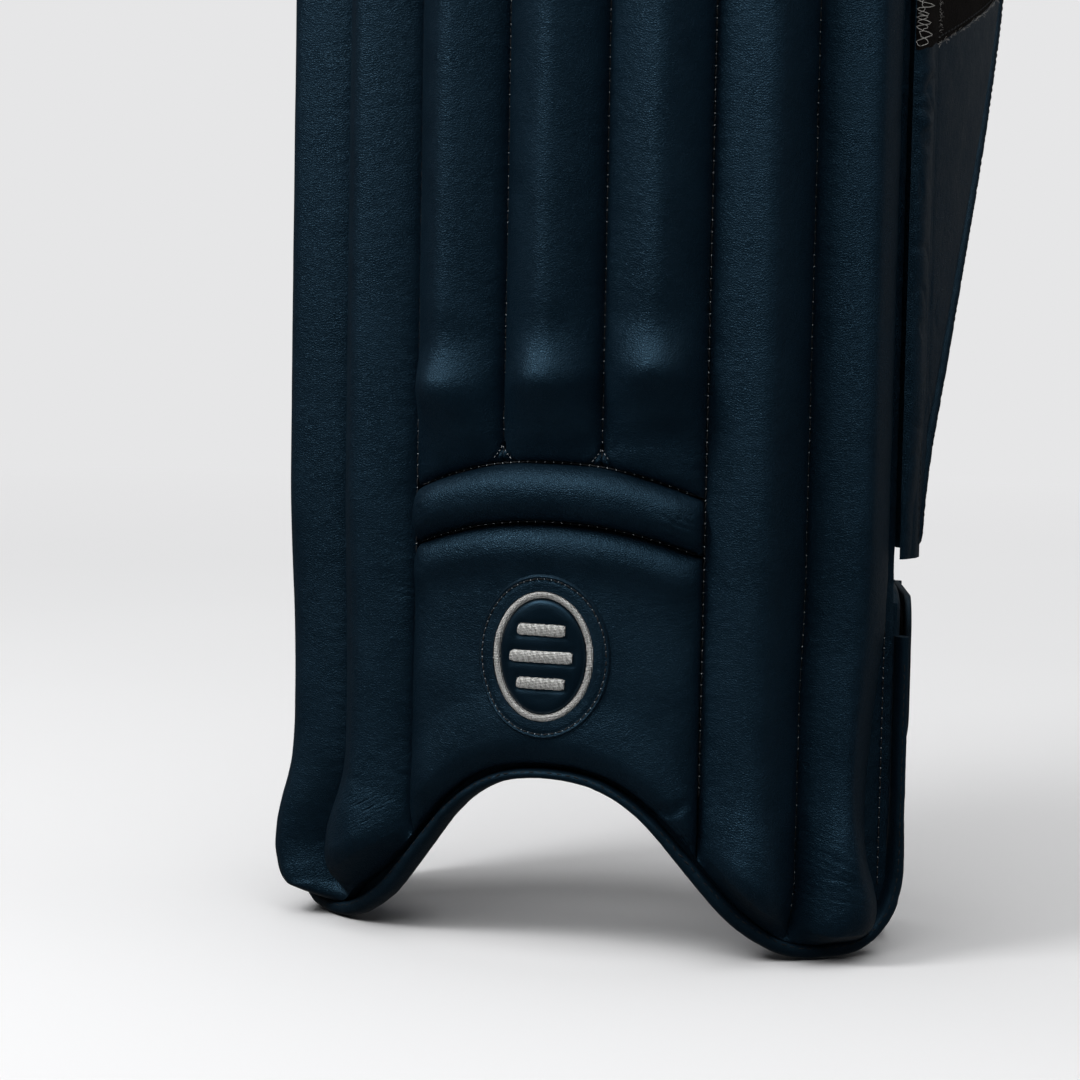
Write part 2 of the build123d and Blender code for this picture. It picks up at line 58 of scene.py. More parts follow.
BAND_HIGH = [(0, 194.5), (22, 193), (42, 188), (63, 180)]
ARCH = [(0, 72), (12, 71), (22, 68), (32, 62), (42, 52.5), (52, 40), (62, 27),
        (72, 15), (82, 6.5), (91, 1.6), (99, 0)]
FOOT_CORNER = [(108, 0), (115, 3), (120.5, 9.5), (123.5, 19), (126, 34)]
HAT_TOP = [(0, 800), (40, 797), (78, 788), (104, 772), (120, 748), (128, 715)]
WC, WR = (-239.37, -27.24), 378.58
WING_REAR = [(-99, 160), (-94, 190), (-82, 222), (-55, 281), (-19, 344),
             (9, 386), (20, 419), (22, 445), (16, 466), (4, 474)]
FLAP_REAR = [(-96, 176), (-84, 215), (-56, 280), (-24, 345), (4, 390),
             (19, 420), (22, 445), (16, 466), (4, 474)]
TR = 170.0                                   # radius that outlines are laid on


def row(p):
    p = np.asarray(p, float)
    return (p + np.array([SX, SY, 0.0])) / 1000.0


def cyl(theta, r, z):
    t = np.radians(theta)
    return np.stack(np.broadcast_arrays(r * np.sin(t), -r * np.cos(t), z), -1)


# ---------------------------------------------------------------------- noise
def _h(i, j, seed):
    n = (i.astype(np.int64) * 374761393 + j.astype(np.int64) * 668265263 + seed * 974634777) & 0xFFFFFFFF
    n = ((n ^ (n >> 13)) * 1274126177) & 0xFFFFFFFF
    n = n ^ (n >> 16)
    return n / 2147483647.5 - 1.0


def vn(x, y, seed=0):
    x, y = np.broadcast_arrays(np.asarray(x, float), np.asarray(y, float))
    xi, yi = np.floor(x), np.floor(y)
    fx, fy = x - xi, y - yi
    fx = fx * fx * fx * (fx * (fx * 6 - 15) + 10)
    fy = fy * fy * fy * (fy * (fy * 6 - 15) + 10)
    a, b = _h(xi, yi, seed), _h(xi + 1, yi, seed)
    c, d = _h(xi, yi + 1, seed), _h(xi + 1, yi + 1, seed)
    return (a * (1 - fx) + b * fx) * (1 - fy) + (c * (1 - fx) + d * fx) * fy


def fbm(x, y, octaves=3, seed=0):
    s, a, t = 0.0, 1.0, 0.0
    for k in range(octaves):
        s = s + a * vn(x * 2 ** k + 17.3 * k, y * 2 ** k - 9.1 * k, seed + k)
        t += a
        a *= 0.5
    return s / t


def crease(x, y, seed=0):
    """Thin sharp folds: 1 on a fold line and 0 between them."""
    return np.clip(1.0 - np.abs(fbm(x, y, 2, seed)) * 3.2, 0, 1) ** 2


def smooth(x, a=0.0, b=1.0):
    t = np.clip((x - a) / (b - a), 0, 1)
    return t * t * (3 - 2 * t)


def dome(d, L):
    """Rounded shoulder: 0 at d=0 and 1 from d=L on."""
    t = np.clip(d / L, 0, 1)
    return np.sqrt(np.clip(1 - (1 - t) ** 2, 0, 1))


# --------------------------------------------------------------- curve helpers
def catmull(pts, per=12, closed=False):
    p = np.array(pts, float)
    n = len(p)
    out = []
    for i in range(n if closed else n - 1):
        a = p[(i - 1) % n] if (closed or i > 0) else 2 * p[0] - p[1]
        b, c = p[i], p[(i + 1) % n]
        d = p[(i + 2) % n] if (closed or i + 2 < n) else 2 * p[-1] - p[-2]
        for t in np.arange(per) / per:
            out.append(0.5 * (2 * b + (c - a) * t + (2 * a - 5 * b + 4 * c - d) * t * t
                              + (3 * b - a - 3 * c + d) * t ** 3))
    if not closed:
        out.append(p[-1])
    return np.array(out)


def resample(path, step):
    path = np.asarray(path, float)
    seg = np.linalg.norm(np.diff(path, axis=0), axis=1)
    s = np.concatenate([[0], np.cumsum(seg)])
    n = max(2, int(round(s[-1] / step)) + 1)
    t = np.linspace(0, s[-1], n)
    return np.stack([np.interp(t, s, path[:, k]) for k in range(path.shape[1])], -1), t


def shift_line(pts, d):
    out = []
    for i, p in enumerate(pts):
        a, b = pts[max(i - 1, 0)], pts[min(i + 1, len(pts) - 1)]
        tx, tz = b[0] - a[0], b[1] - a[1]
        n = math.hypot(tx, tz)
        if i == 0:
            tx, tz, n = 1.0, 0.0, 1.0
        out.append((p[0] - d * tz / n, p[1] + d * tx / n))
    return out


_curves = {}


def z_of(pts, x):
    """Height of a half outline at |x|, from a smooth curve through its points."""
    k = tuple(map(tuple, pts))
    if k not in _curves:
        _curves[k] = catmull([(-pts[1][0], pts[1][1])] + list(pts), 16)[16:]
    c = _curves[k]
    return np.interp(np.abs(x), c[:, 0], c[:, 1])


# ----------------------------------------------------------------- mesh makers
def make(name, verts, faces, mat, body=None, slot=None, replaces=(), fill=None, sharp=50.0, uv=None, mats=None, mat_of=None):
    me = bpy.data.meshes.new(name)
    me.from_pydata([tuple(v) for v in row(verts)], [], [tuple(int(i) for i in f) for f in faces])
    me.update()
    ob = bpy.data.objects.new(name, me)
    bpy.context.scene.collection.objects.link(ob)
    for m in (mats or [mat]):
        me.materials.append(m)
    if mat_of is not None:
        me.polygons.foreach_set("material_index", np.asarray(mat_of, np.int32))
    me.polygons.foreach_set("use_smooth", np.ones(len(me.polygons), bool))
    if uv is not None:
        layer = me.uv_layers.new(name="flat")
        idx = np.zeros(len(me.loops), np.int32)
        me.loops.foreach_get("vertex_index", idx)
        layer.data.foreach_set("uv", (np.asarray(uv, float)[idx] / 1000.0).astype(np.float32).ravel())
    if sharp:
        me.set_sharp_from_angle(angle=math.radians(sharp))
    if replaces:
        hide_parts(*replaces)
    if body:
        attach(ob, body)
    return ob


def grid_faces(nu, nv, off=0, flip=False, wrap=False):
    f = []
    for i in range(nu - 1 if not wrap else nu):
        for j in range(nv - 1):
            a, b = off + i * nv + j, off + ((i + 1) % nu) * nv + j
            q = (a, b, b + 1, a + 1)
            f.append(q[::-1] if flip else q)
    return f


def shell(name, outer, inner, mat, uv=None, inner_mat=None, **kw):
    """Closed form from an outer and an inner grid of points with one outline."""
    nu, nv = outer.shape[:2]
    n = nu * nv
    verts = np.concatenate([outer.reshape(-1, 3), inner.reshape(-1, 3)])
    f = grid_faces(nu, nv) + grid_faces(nu, nv, n, True)
    k = len(f)
    for i in range(nu - 1):
        a, b = i * nv, (i + 1) * nv
        f.append((b, a, n + a, n + b))
        a, b = i * nv + nv - 1, (i + 1) * nv + nv - 1
        f.append((a, b, n + b, n + a))
    for j in range(nv - 1):
        a, b = j, j + 1
        f.append((a, b, n + b, n + a))
        a, b = (nu - 1) * nv + j, (nu - 1) * nv + j + 1
        f.append((b, a, n + a, n + b))
    if uv is not None:
        uv = np.concatenate([uv.reshape(-1, 2)] * 2)
    mats, mat_of = None, None
    if inner_mat is not None:
        mats = [mat, inner_mat]
        mat_of = [0] * ((nu - 1) * (nv - 1)) + [1] * ((nu - 1) * (nv - 1)) + [0] * (len(f) - k)
    return make(name, verts, f, mat, uv=uv, mats=mats, mat_of=mat_of, **kw)


def normals(g):
    du, dv = np.gradient(g, axis=0), np.gradient(g, axis=1)
    n = np.cross(du, dv)
    return n / np.maximum(np.linalg.norm(n, axis=-1, keepdims=True), 1e-9)


def arc(g, axis):
    d = np.linalg.norm(np.diff(g, axis=axis), axis=-1)
    z = np.zeros_like(np.take(d, [0], axis=axis))
    return np.concatenate([z, np.cumsum(d, axis=axis)], axis=axis)


def cushion(name, base, hout, hin, edge, mat, extra=None, rim_t=0.0, out_sign=1.0, **kw):
    """Crowned closed pad on a grid of points: it swells to both sides and pulls in to its seam."""
    n = normals(base) * out_sign
    su, sv = arc(base, 0), arc(base, 1)
    d = np.minimum(np.minimum(su, su[-1:] - su), np.minimum(sv, sv[:, -1:] - sv))
    p = dome(d, edge)
    e = extra(su, sv, d) if extra else 0.0
    o = base + n * (rim_t + hout * p + e * np.clip(d / edge, 0, 1))[..., None]
    i = base - n * (rim_t + hin * p)[..., None]
    uv = np.stack([su, sv], -1)
    ob = shell(name, o if out_sign > 0 else o, i, mat, uv=uv, **kw) if out_sign > 0 else \
        shell(name, o[::-1], i[::-1], mat, uv=uv[::-1], **kw)
    return ob, o, n


def frames(path, up=None):
    """Tangent, side and up vectors along a path."""
    t = np.gradient(path, axis=0)
    t /= np.maximum(np.linalg.norm(t, axis=1, keepdims=True), 1e-9)
    if up is None:
        up = np.tile([0, 0, 1.0], (len(path), 1))
    up = np.asarray(up, float)
    up = up - t * (up * t).sum(1, keepdims=True)
    up /= np.maximum(np.linalg.norm(up, axis=1, keepdims=True), 1e-9)
    s = np.cross(t, up)
    return t, s, up


def sweep(path, a, b, up, seg=14, power=1.0, wob=None, closed=False):
    """Tube along a path: half width a along the side vector, b along up."""
    t, s, u = frames(path, up)
    if closed:
        t = np.roll(path, -1, 0) - np.roll(path, 1, 0)
        t /= np.linalg.norm(t, axis=1, keepdims=True)
        u = np.asarray(up, float)
        u = u - t * (u * t).sum(1, keepdims=True)
        u /= np.linalg.norm(u, axis=1, keepdims=True)
        s = np.cross(t, u)
    ph = np.linspace(0, 2 * np.pi, seg, endpoint=False)
    c, q = np.cos(ph), np.sin(ph)
    c, q = np.sign(c) * np.abs(c) ** power, np.sign(q) * np.abs(q) ** power
    a = np.broadcast_to(a, (len(path),))
    b = np.broadcast_to(b, (len(path),))
    k = 1.0 if wob is None else wob
    ring = path[:, None] + s[:, None] * (a[:, None] * c * k)[..., None] + u[:, None] * (b[:, None] * q * k)[..., None]
    verts = ring.reshape(-1, 3)
    f = []
    n = len(path)
    for i in range(n if closed else n - 1):
        for j in range(seg):
            p0, p1 = i * seg + j, i * seg + (j + 1) % seg
            q0, q1 = ((i + 1) % n) * seg + j, ((i + 1) % n) * seg + (j + 1) % seg
            f.append((p0, p1, q1, q0))
    if not closed:
        f.append(tuple(range(seg))[::-1])
        f.append(tuple((n - 1) * seg + j for j in range(seg)))
    return verts, f


def beads(path, normal, length, width, height, step, lift=0.0, jitter=0.12, seed=1, skew=0.0):
    """Separate raised stitches along a path."""
    path = np.asarray(path, float)
    seg = np.linalg.norm(np.diff(path, axis=0), axis=1)
    s = np.concatenate([[0], np.cumsum(seg)])
    normal = np.broadcast_to(np.asarray(normal, float), path.shape)
    cs = np.arange(step * 0.6, s[-1] - step * 0.4, step)
    rng = np.random.default_rng(seed)
    V, F = [], []
    prof = [(-1.0, 0.25), (-0.72, 0.85), (0.0, 1.0), (0.72, 0.85), (1.0, 0.25)]
    for c in cs:
        def at(q):
            return np.array([np.interp(q, s, path[:, k]) for k in range(3)])
        m = at(c)
        t = at(min(c + length / 2, s[-1])) - at(max(c - length / 2, 0))
        t /= max(np.linalg.norm(t), 1e-9)
        n = np.array([np.interp(c, s, normal[:, k]) for k in range(3)])
        n = n - t * (n @ t)
        n /= max(np.linalg.norm(n), 1e-9)
        b = np.cross(n, t)
        ang = skew + rng.normal(0, jitter)
        t2 = t * math.cos(ang) + b * math.sin(ang)
        b2 = np.cross(n, t2)
        o = len(V)
        L = length * (1 + rng.normal(0, 0.05)) / 2
        for x, k in prof:
            bow = (1 - x * x) * height * 0.5
            for j in range(6):
                a = 2 * math.pi * j / 6
                V.append(m + t2 * x * L + b2 * math.cos(a) * width / 2 * k + n * (lift + bow + math.sin(a) * height / 2 * k))
        for r in range(len(prof) - 1):
            for j in range(6):
                p0, p1 = o + r * 6 + j, o + r * 6 + (j + 1) % 6
                F.append((p0, p1, p1 + 6, p0 + 6))
        F.append(tuple(o + j for j in range(6))[::-1])
        F.append(tuple(o + 24 + j for j in range(6)))
    return np.array(V).reshape(-1, 3), F


def merge(parts):
    V, F, o = [], [], 0
    for v, f in parts:
        if len(v) == 0:
            continue
        V.append(np.asarray(v, float))
        F += [tuple(i + o for i in q) for q in f]
        o += len(v)
    return np.concatenate(V), F


# ------------------------------------------------------------------- materials
def nodes_of(name):
    m = bpy.data.materials.new(name)
    m.use_nodes = True
    nt = m.node_tree
    nt.nodes.clear()
    out = nt.nodes.new("ShaderNodeOutputMaterial")
    b = nt.nodes.new("ShaderNodeBsdfPrincipled")
    nt.links.new(b.outputs[0], out.inputs[0])
    return m, nt, b


def N(nt, kind, **props):
    n = nt.nodes.new(kind)
    for k, v in props.items():
        if k.startswith("in_"):
            n.inputs[k[3:].replace("_", " ")].default_value = v
        else:
            setattr(n, k, v)
    return n


def coord(nt, uv=False, scale=(1, 1, 1)):
    if uv:
        c = N(nt, "ShaderNodeUVMap", uv_map="flat").outputs[0]
    else:
        c = N(nt, "ShaderNodeTexCoord").outputs["Object"]
    mp = N(nt, "ShaderNodeMapping")
    mp.inputs["Scale"].default_value = scale
    nt.links.new(c, mp.inputs[0])
    return mp.outputs[0]


def noise(nt, vec, scale, detail=3.0, rough=0.55):
    n = N(nt, "ShaderNodeTexNoise")
    n.inputs["Scale"].default_value = scale
    n.inputs["Detail"].default_value = detail
    n.inputs["Roughness"].default_value = rough
    nt.links.new(vec, n.inputs["Vector"])
    return n.outputs["Fac"]


def mathn(nt, op, a, b=None, c=None, clamp=False):
    n = N(nt, "ShaderNodeMath", operation=op, use_clamp=clamp)
    for i, v in enumerate((a, b, c)):
        if v is None:
            continue
        if isinstance(v, (int, float)):
            n.inputs[i].default_value = v
        else:
            nt.links.new(v, n.inputs[i])
    return n.outputs[0]


def remap(nt, v, a, b, c, d):
    n = N(nt, "ShaderNodeMapRange", clamp=True)
    for k, x in zip(("From Min", "From Max", "To Min", "To Max"), (a, b, c, d)):
        n.inputs[k].default_value = x
    nt.links.new(v, n.inputs["Value"])
    return n.outputs[0]


def ramp(nt, fac, stops):
    n = N(nt, "ShaderNodeValToRGB")
    e = n.color_ramp.elements
    e[0].position, e[0].color = stops[0][0], (*stops[0][1], 1)
    e[1].position, e[1].color = stops[-1][0], (*stops[-1][1], 1)
    for p, c in stops[1:-1]:
        x = e.new(p)
        x.color = (*c, 1)
    nt.links.new(fac, n.inputs[0])
    return n.outputs[0]


def bump(nt, height, strength, dist, prev=None):
    n = N(nt, "ShaderNodeBump")
    n.inputs["Strength"].default_value = strength
    n.inputs["Distance"].default_value = dist
    nt.links.new(height, n.inputs["Height"])
    if prev is not None:
        nt.links.new(prev, n.inputs["Normal"])
    return n.outputs[0]


def lin(*rgb):
    return tuple(((c / 255) / 12.92 if c / 255 <= 0.04045 else ((c / 255 + 0.055) / 1.055) ** 2.4) for c in rgb)


def scaled(c, k):
    return tuple(min(1.0, x * k) for x in c)


def leather(name, color, rough=0.40, grain=1.5, spec=0.50, rub_and_highlight=0.04):
    m, nt, b = nodes_of(name)
    v = coord(nt)
    big = noise(nt, v, 9.0, 4.0)
    mid = noise(nt, v, 70.0, 3.0)
    vor = N(nt, "ShaderNodeTexVoronoi", feature="DISTANCE_TO_EDGE")
    vor.inputs["Scale"].default_value = 1150.0
    nt.links.new(v, vor.inputs["Vector"])
    cells = remap(nt, vor.outputs["Distance"], 0.0, 0.28, 0.0, 1.0)
    fine = noise(nt, v, 2600.0, 2.0)
    creasy = noise(nt, v, 330.0, 3.0, 0.6)
    tone = mathn(nt, "ADD", mathn(nt, "MULTIPLY", big, 0.55), mathn(nt, "MULTIPLY", mid, 0.45))
    col = ramp(nt, tone, [(0.30, scaled(color, 0.80)), (0.5, color), (0.72, scaled(color, 1.22))])
    dark = ramp(nt, cells, [(0.0, (0.55, 0.55, 0.58)), (1.0, (1, 1, 1))])
    mul = N(nt, "ShaderNodeMix", data_type="RGBA", blend_type="MULTIPLY")
    mul.inputs[0].default_value = 0.55
    nt.links.new(col, mul.inputs[6])
    nt.links.new(dark, mul.inputs[7])
    geo = N(nt, "ShaderNodeNewGeometry")
    # paler bluish colour on sharp convex ridges: partly rubbed wear, partly a painted highlight on the ridges
    edge = remap(nt, geo.outputs["Pointiness"], 0.53, 0.60, 0.0, rub_and_highlight)
    rub_highlight_mix = N(nt, "ShaderNodeMix", data_type="RGBA", blend_type="MIX")
    nt.links.new(mathn(nt, "MULTIPLY", edge, mid), rub_highlight_mix.inputs[0])
    nt.links.new(mul.outputs[2], rub_highlight_mix.inputs[6])
    rub_highlight_mix.inputs[7].default_value = (*lin(96, 112, 124), 1)
    nt.links.new(rub_highlight_mix.outputs[2], b.inputs["Base Color"])
    rg = mathn(nt, "ADD", remap(nt, mid, 0.3, 0.7, rough - 0.05, rough + 0.06),
               mathn(nt, "MULTIPLY", mathn(nt, "SUBTRACT", 1.0, cells), 0.12))
    nt.links.new(rg, b.inputs["Roughness"])
    b.inputs["Specular IOR Level"].default_value = spec
    b.inputs["Specular Tint"].default_value = (0.29, 0.66, 1.0, 1.0)
    h = bump(nt, creasy, 0.20 * grain, 0.0012)
    h = bump(nt, cells, 0.42 * grain, 0.00016, h)
    h = bump(nt, fine, 0.22 * grain, 0.00012, h)
    nt.links.new(h, b.inputs["Normal"])
    return m


def diamond(name, color, pitch=0.0032, rough=0.8, uv=True, depth=0.0005, hole=0.35):
    """Open diamond knit: raised yarns on the two diagonals and dark holes between."""
    m, nt, b = nodes_of(name)
    v = coord(nt, uv)
    sep = N(nt, "ShaderNodeSeparateXYZ")
    nt.links.new(v, sep.inputs[0])
    if uv:
        x, y = sep.outputs[0], sep.outputs[1]
    else:
        x = mathn(nt, "ADD", sep.outputs[0], mathn(nt, "MULTIPLY", sep.outputs[1], 0.83))
        y = sep.outputs[2]
    k = math.pi / pitch
    s1 = mathn(nt, "ABSOLUTE", mathn(nt, "SINE", mathn(nt, "MULTIPLY", mathn(nt, "ADD", x, mathn(nt, "MULTIPLY", y, 0.7)), k)))
    s2 = mathn(nt, "ABSOLUTE", mathn(nt, "SINE", mathn(nt, "MULTIPLY", mathn(nt, "SUBTRACT", x, mathn(nt, "MULTIPLY", y, 0.7)), k)))
    h = mathn(nt, "SUBTRACT", 1.0, mathn(nt, "MULTIPLY", s1, s2))
    h = remap(nt, h, 0.15, 0.85, 0.0, 1.0)
    yarn = noise(nt, v, 2400.0, 3.0)
    big = noise(nt, coord(nt), 14.0, 3.0)
    base = ramp(nt, h, [(0.0, scaled(color, hole)), (0.55, color), (1.0, scaled(color, 1.7))])
    tint = ramp(nt, mathn(nt, "ADD", mathn(nt, "MULTIPLY", yarn, 0.5), mathn(nt, "MULTIPLY", big, 0.5)),
                [(0.3, (0.7, 0.7, 0.72)), (0.7, (1.25, 1.25, 1.25))])
    mul = N(nt, "ShaderNodeMix", data_type="RGBA", blend_type="MULTIPLY")
    mul.inputs[0].default_value = 1.0
    nt.links.new(base, mul.inputs[6])
    nt.links.new(tint, mul.inputs[7])
    nt.links.new(mul.outputs[2], b.inputs["Base Color"])
    nt.links.new(remap(nt, yarn, 0.3, 0.7, rough - 0.08, min(1.0, rough + 0.08)), b.inputs["Roughness"])
    b.inputs["Specular IOR Level"].default_value = 0.3
    b.inputs["Sheen Weight"].default_value = 0.12
    b.inputs["Sheen Roughness"].default_value = 0.5
    n = bump(nt, h, 0.9, depth)
    n = bump(nt, yarn, 0.35, 0.0002, n)
    nt.links.new(n, b.inputs["Normal"])
    return m


def woven(name, color, pitch=0.0011, rough=0.75, uv=True, sheen=0.1, var=1.35, rib=None):
    """Plain weave, or a one-way rib when rib is set."""
    m, nt, b = nodes_of(name)
    v = coord(nt, uv)
    sep = N(nt, "ShaderNodeSeparateXYZ")
    nt.links.new(v, sep.inputs[0])
    if uv:
        x, y = sep.outputs[0], sep.outputs[1]
    else:
        x = mathn(nt, "ADD", sep.outputs[0], mathn(nt, "MULTIPLY", sep.outputs[1], 0.83))
        y = sep.outputs[2]
    k = 2 * math.pi / pitch
    if rib:
        h = mathn(nt, "ABSOLUTE", mathn(nt, "SINE", mathn(nt, "MULTIPLY", y, math.pi / rib)))
        h2 = mathn(nt, "SINE", mathn(nt, "MULTIPLY", x, k))
        h = mathn(nt, "ADD", mathn(nt, "MULTIPLY", h, 0.8), mathn(nt, "MULTIPLY", h2, 0.12))
    else:
        h = mathn(nt, "MULTIPLY", mathn(nt, "SINE", mathn(nt, "MULTIPLY", x, k)), mathn(nt, "SINE", mathn(nt, "MULTIPLY", y, k)))
        h = mathn(nt, "ADD", mathn(nt, "MULTIPLY", h, 0.5), 0.5)
    fuzz = noise(nt, v, 3000.0, 3.0)
    big = noise(nt, coord(nt), 18.0, 3.0)
    base = ramp(nt, h, [(0.0, scaled(color, 0.55)), (1.0, scaled(color, var))])
    tint = ramp(nt, mathn(nt, "ADD", mathn(nt, "MULTIPLY", fuzz, 0.55), mathn(nt, "MULTIPLY", big, 0.45)),
                [(0.3, (0.72, 0.72, 0.72)), (0.7, (1.25, 1.25, 1.25))])
    mul = N(nt, "ShaderNodeMix", data_type="RGBA", blend_type="MULTIPLY")
    mul.inputs[0].default_value = 1.0
    nt.links.new(base, mul.inputs[6])
    nt.links.new(tint, mul.inputs[7])
    nt.links.new(mul.outputs[2], b.inputs["Base Color"])
    nt.links.new(remap(nt, fuzz, 0.3, 0.7, rough - 0.08, min(1.0, rough + 0.08)), b.inputs["Roughness"])
    b.inputs["Specular IOR Level"].default_value = 0.3
    b.inputs["Sheen Weight"].default_value = sheen
    b.inputs["Sheen Roughness"].default_value = 0.45
    n = bump(nt, h, 0.7, pitch * 0.25)
    n = bump(nt, fuzz, 0.4, 0.00015, n)
    nt.links.new(n, b.inputs["Normal"])
    return m


def thread(name, color, rough=0.55, metal=0.0, twist=1500.0):
    m, nt, b = nodes_of(name)
    v = coord(nt)
    w = N(nt, "ShaderNodeTexWave", wave_type="BANDS", bands_direction="DIAGONAL")
    w.inputs["Scale"].default_value = twist
    w.inputs["Distortion"].default_value = 1.5
    nt.links.new(v, w.inputs["Vector"])
    f = noise(nt, v, 900.0, 2.0)
    col = ramp(nt, mathn(nt, "ADD", mathn(nt, "MULTIPLY", w.outputs["Fac"], 0.5), mathn(nt, "MULTIPLY", f, 0.5)),
               [(0.2, scaled(color, 0.6)), (0.8, scaled(color, 1.25))])
    nt.links.new(col, b.inputs["Base Color"])
    nt.links.new(remap(nt, f, 0.3, 0.7, rough - 0.1, rough + 0.1), b.inputs["Roughness"])
    b.inputs["Metallic"].default_value = metal
    nt.links.new(bump(nt, w.outputs["Fac"], 0.5, 0.0001), b.inputs["Normal"])
    return m


def pile(name, color, rough=0.95):
    m, nt, b = nodes_of(name)
    v = coord(nt)
    f = noise(nt, v, 1400.0, 4.0, 0.7)
    vor = N(nt, "ShaderNodeTexVoronoi")
    vor.inputs["Scale"].default_value = 900.0
    nt.links.new(v, vor.inputs["Vector"])
    big = noise(nt, v, 40.0, 4.0)
    col = ramp(nt, mathn(nt, "ADD", mathn(nt, "MULTIPLY", f, 0.5), mathn(nt, "MULTIPLY", big, 0.5)),
               [(0.3, scaled(color, 0.55)), (0.52, color), (0.75, scaled(color, 1.7))])
    nt.links.new(col, b.inputs["Base Color"])
    nt.links.new(remap(nt, f, 0.3, 0.7, rough - 0.1, 1.0), b.inputs["Roughness"])
    b.inputs["Specular IOR Level"].default_value = 0.2
    b.inputs["Sheen Weight"].default_value = 0.25
    n = bump(nt, vor.outputs["Distance"], 0.8, 0.0006)
    n = bump(nt, f, 0.8, 0.0005, n)
    nt.links.new(n, b.inputs["Normal"])
    b.inputs["Specular IOR Level"].default_value = 0.03
    b.inputs["Sheen Weight"].default_value = 0.0
    return m


def gripper(name, color):
    """Moulded rubber with rows of small raised blocks."""
    m, nt, b = nodes_of(name)
    v = coord(nt, True)
    br = N(nt, "ShaderNodeTexBrick", offset=0.5)
    br.inputs["Scale"].default_value = 1.0
    br.inputs["Mortar Size"].default_value = 0.0004
    br.inputs["Mortar Smooth"].default_value = 0.4
    br.inputs["Brick Width"].default_value = 0.0036
    br.inputs["Row Height"].default_value = 0.0018
    nt.links.new(v, br.inputs["Vector"])
    f = noise(nt, v, 1200.0, 3.0)
    inv = mathn(nt, "SUBTRACT", 1.0, br.outputs["Fac"])
    col = ramp(nt, mathn(nt, "MULTIPLY", inv, f), [(0.0, scaled(color, 0.5)), (0.6, scaled(color, 1.5))])
    nt.links.new(col, b.inputs["Base Color"])
    nt.links.new(remap(nt, f, 0.3, 0.7, 0.35, 0.55), b.inputs["Roughness"])
    n = bump(nt, inv, 0.9, 0.0005)
    n = bump(nt, f, 0.2, 0.0002, n)
    nt.links.new(n, b.inputs["Normal"])
    return m


def plastic(name, color, rough=0.5):
    m, nt, b = nodes_of(name)
    v = coord(nt)
    f = noise(nt, v, 600.0, 4.0)
    big = noise(nt, v, 25.0, 3.0)
    nt.links.new(ramp(nt, big, [(0.3, scaled(color, 0.85)), (0.7, scaled(color, 1.15))]), b.inputs["Base Color"])
    nt.links.new(remap(nt, f, 0.3, 0.7, rough - 0.08, rough + 0.1), b.inputs["Roughness"])
    nt.links.new(bump(nt, f, 0.25, 0.0002), b.inputs["Normal"])
    return m


NAVY = (0.0022, 0.0078, 0.0148)
M_LEATHER = leather("navy_leather", NAVY)
M_BIND = leather("navy_binding", scaled(NAVY, 0.8), rough=0.5, grain=0.8)
M_BADGE = leather("badge_leather", scaled(NAVY, 0.75), rough=0.34, grain=0.5)
M_SEAM = thread("seam_thread", lin(12, 18, 24), 0.7)
M_SPECK = thread("seam_speck", lin(176, 182, 186), 0.5)
def metal_thread(name):
    m, nt, b = nodes_of(name)
    v = coord(nt)
    waves = []
    for d, s, q in (("X", 610.0, 0.6), ("Z", 520.0, 1.2)):
        w = N(nt, "ShaderNodeTexWave", wave_type="BANDS", bands_direction=d)
        w.inputs["Scale"].default_value = s
        w.inputs["Distortion"].default_value = q
        nt.links.new(v, w.inputs["Vector"])
        waves.append(w.outputs["Fac"])
    f = noise(nt, v, 1500.0, 2.0)
    # the bands in the base colour run from dark grey to near white: partly the thread's silver, partly painted glints
    # and painted shade along the thread ridges
    t = mathn(nt, "ADD", mathn(nt, "MULTIPLY", waves[0], 0.42), mathn(nt, "MULTIPLY", waves[1], 0.28))
    t = mathn(nt, "ADD", t, mathn(nt, "MULTIPLY", f, 0.30))
    col = ramp(nt, t, [(0.30, lin(58, 57, 54)), (0.43, lin(176, 176, 172)), (0.55, lin(246, 246, 243)), (0.8, lin(255, 255, 254))])
    nt.links.new(col, b.inputs["Base Color"])
    nt.links.new(remap(nt, f, 0.3, 0.7, 0.28, 0.50), b.inputs["Roughness"])
    b.inputs["Metallic"].default_value = 0.55
    nt.links.new(bump(nt, t, 0.9, 0.00025), b.inputs["Normal"])
    return m


M_SILVER = metal_thread("silver_thread")
M_MESH = diamond("black_mesh", lin(24, 24, 26))
M_MESH_OBJ = diamond("black_mesh_plain", lin(24, 24, 26), uv=False)
M_LINER = woven("blue_liner", lin(20, 52, 98), pitch=0.0014)
M_STRAP = woven("strap_webbing", lin(20, 20, 21), pitch=0.0009, rib=0.0022, sheen=0.08)
M_PIPE = leather("strap_piping", lin(17, 17, 18), rough=0.5, grain=1.2)
M_LOOP = pile("loop_pile", lin(24, 22, 21))
M_FUZZ = thread("loop_fibre", lin(172, 170, 166), 0.8)
M_FUZZ_DARK = thread("pile_fibre", lin(30, 27, 26), 0.9)
M_HOOK = pile("hook_tape", lin(22, 22, 23), 0.7)
M_GRIP = gripper("grip_rubber", lin(40, 40, 44))
M_BOARD = plastic("board_sheet", lin(70, 70, 74))


# --------------------------------------------------------------- rolled surface
def tent(u, e):
    """Section of a stuffed roll over a rod: flat flanks and a rounded ridge."""
    return 1 - (np.sqrt(u * u + e * e) - e) / (np.sqrt(1 + e * e) - e)


def ease_u(n):
    """Positions over one roll, -1 to 1, closer together at its two seams."""
    t = np.linspace(-1, 1, n)
    return 0.62 * np.sin(np.pi / 2 * t) + 0.38 * t


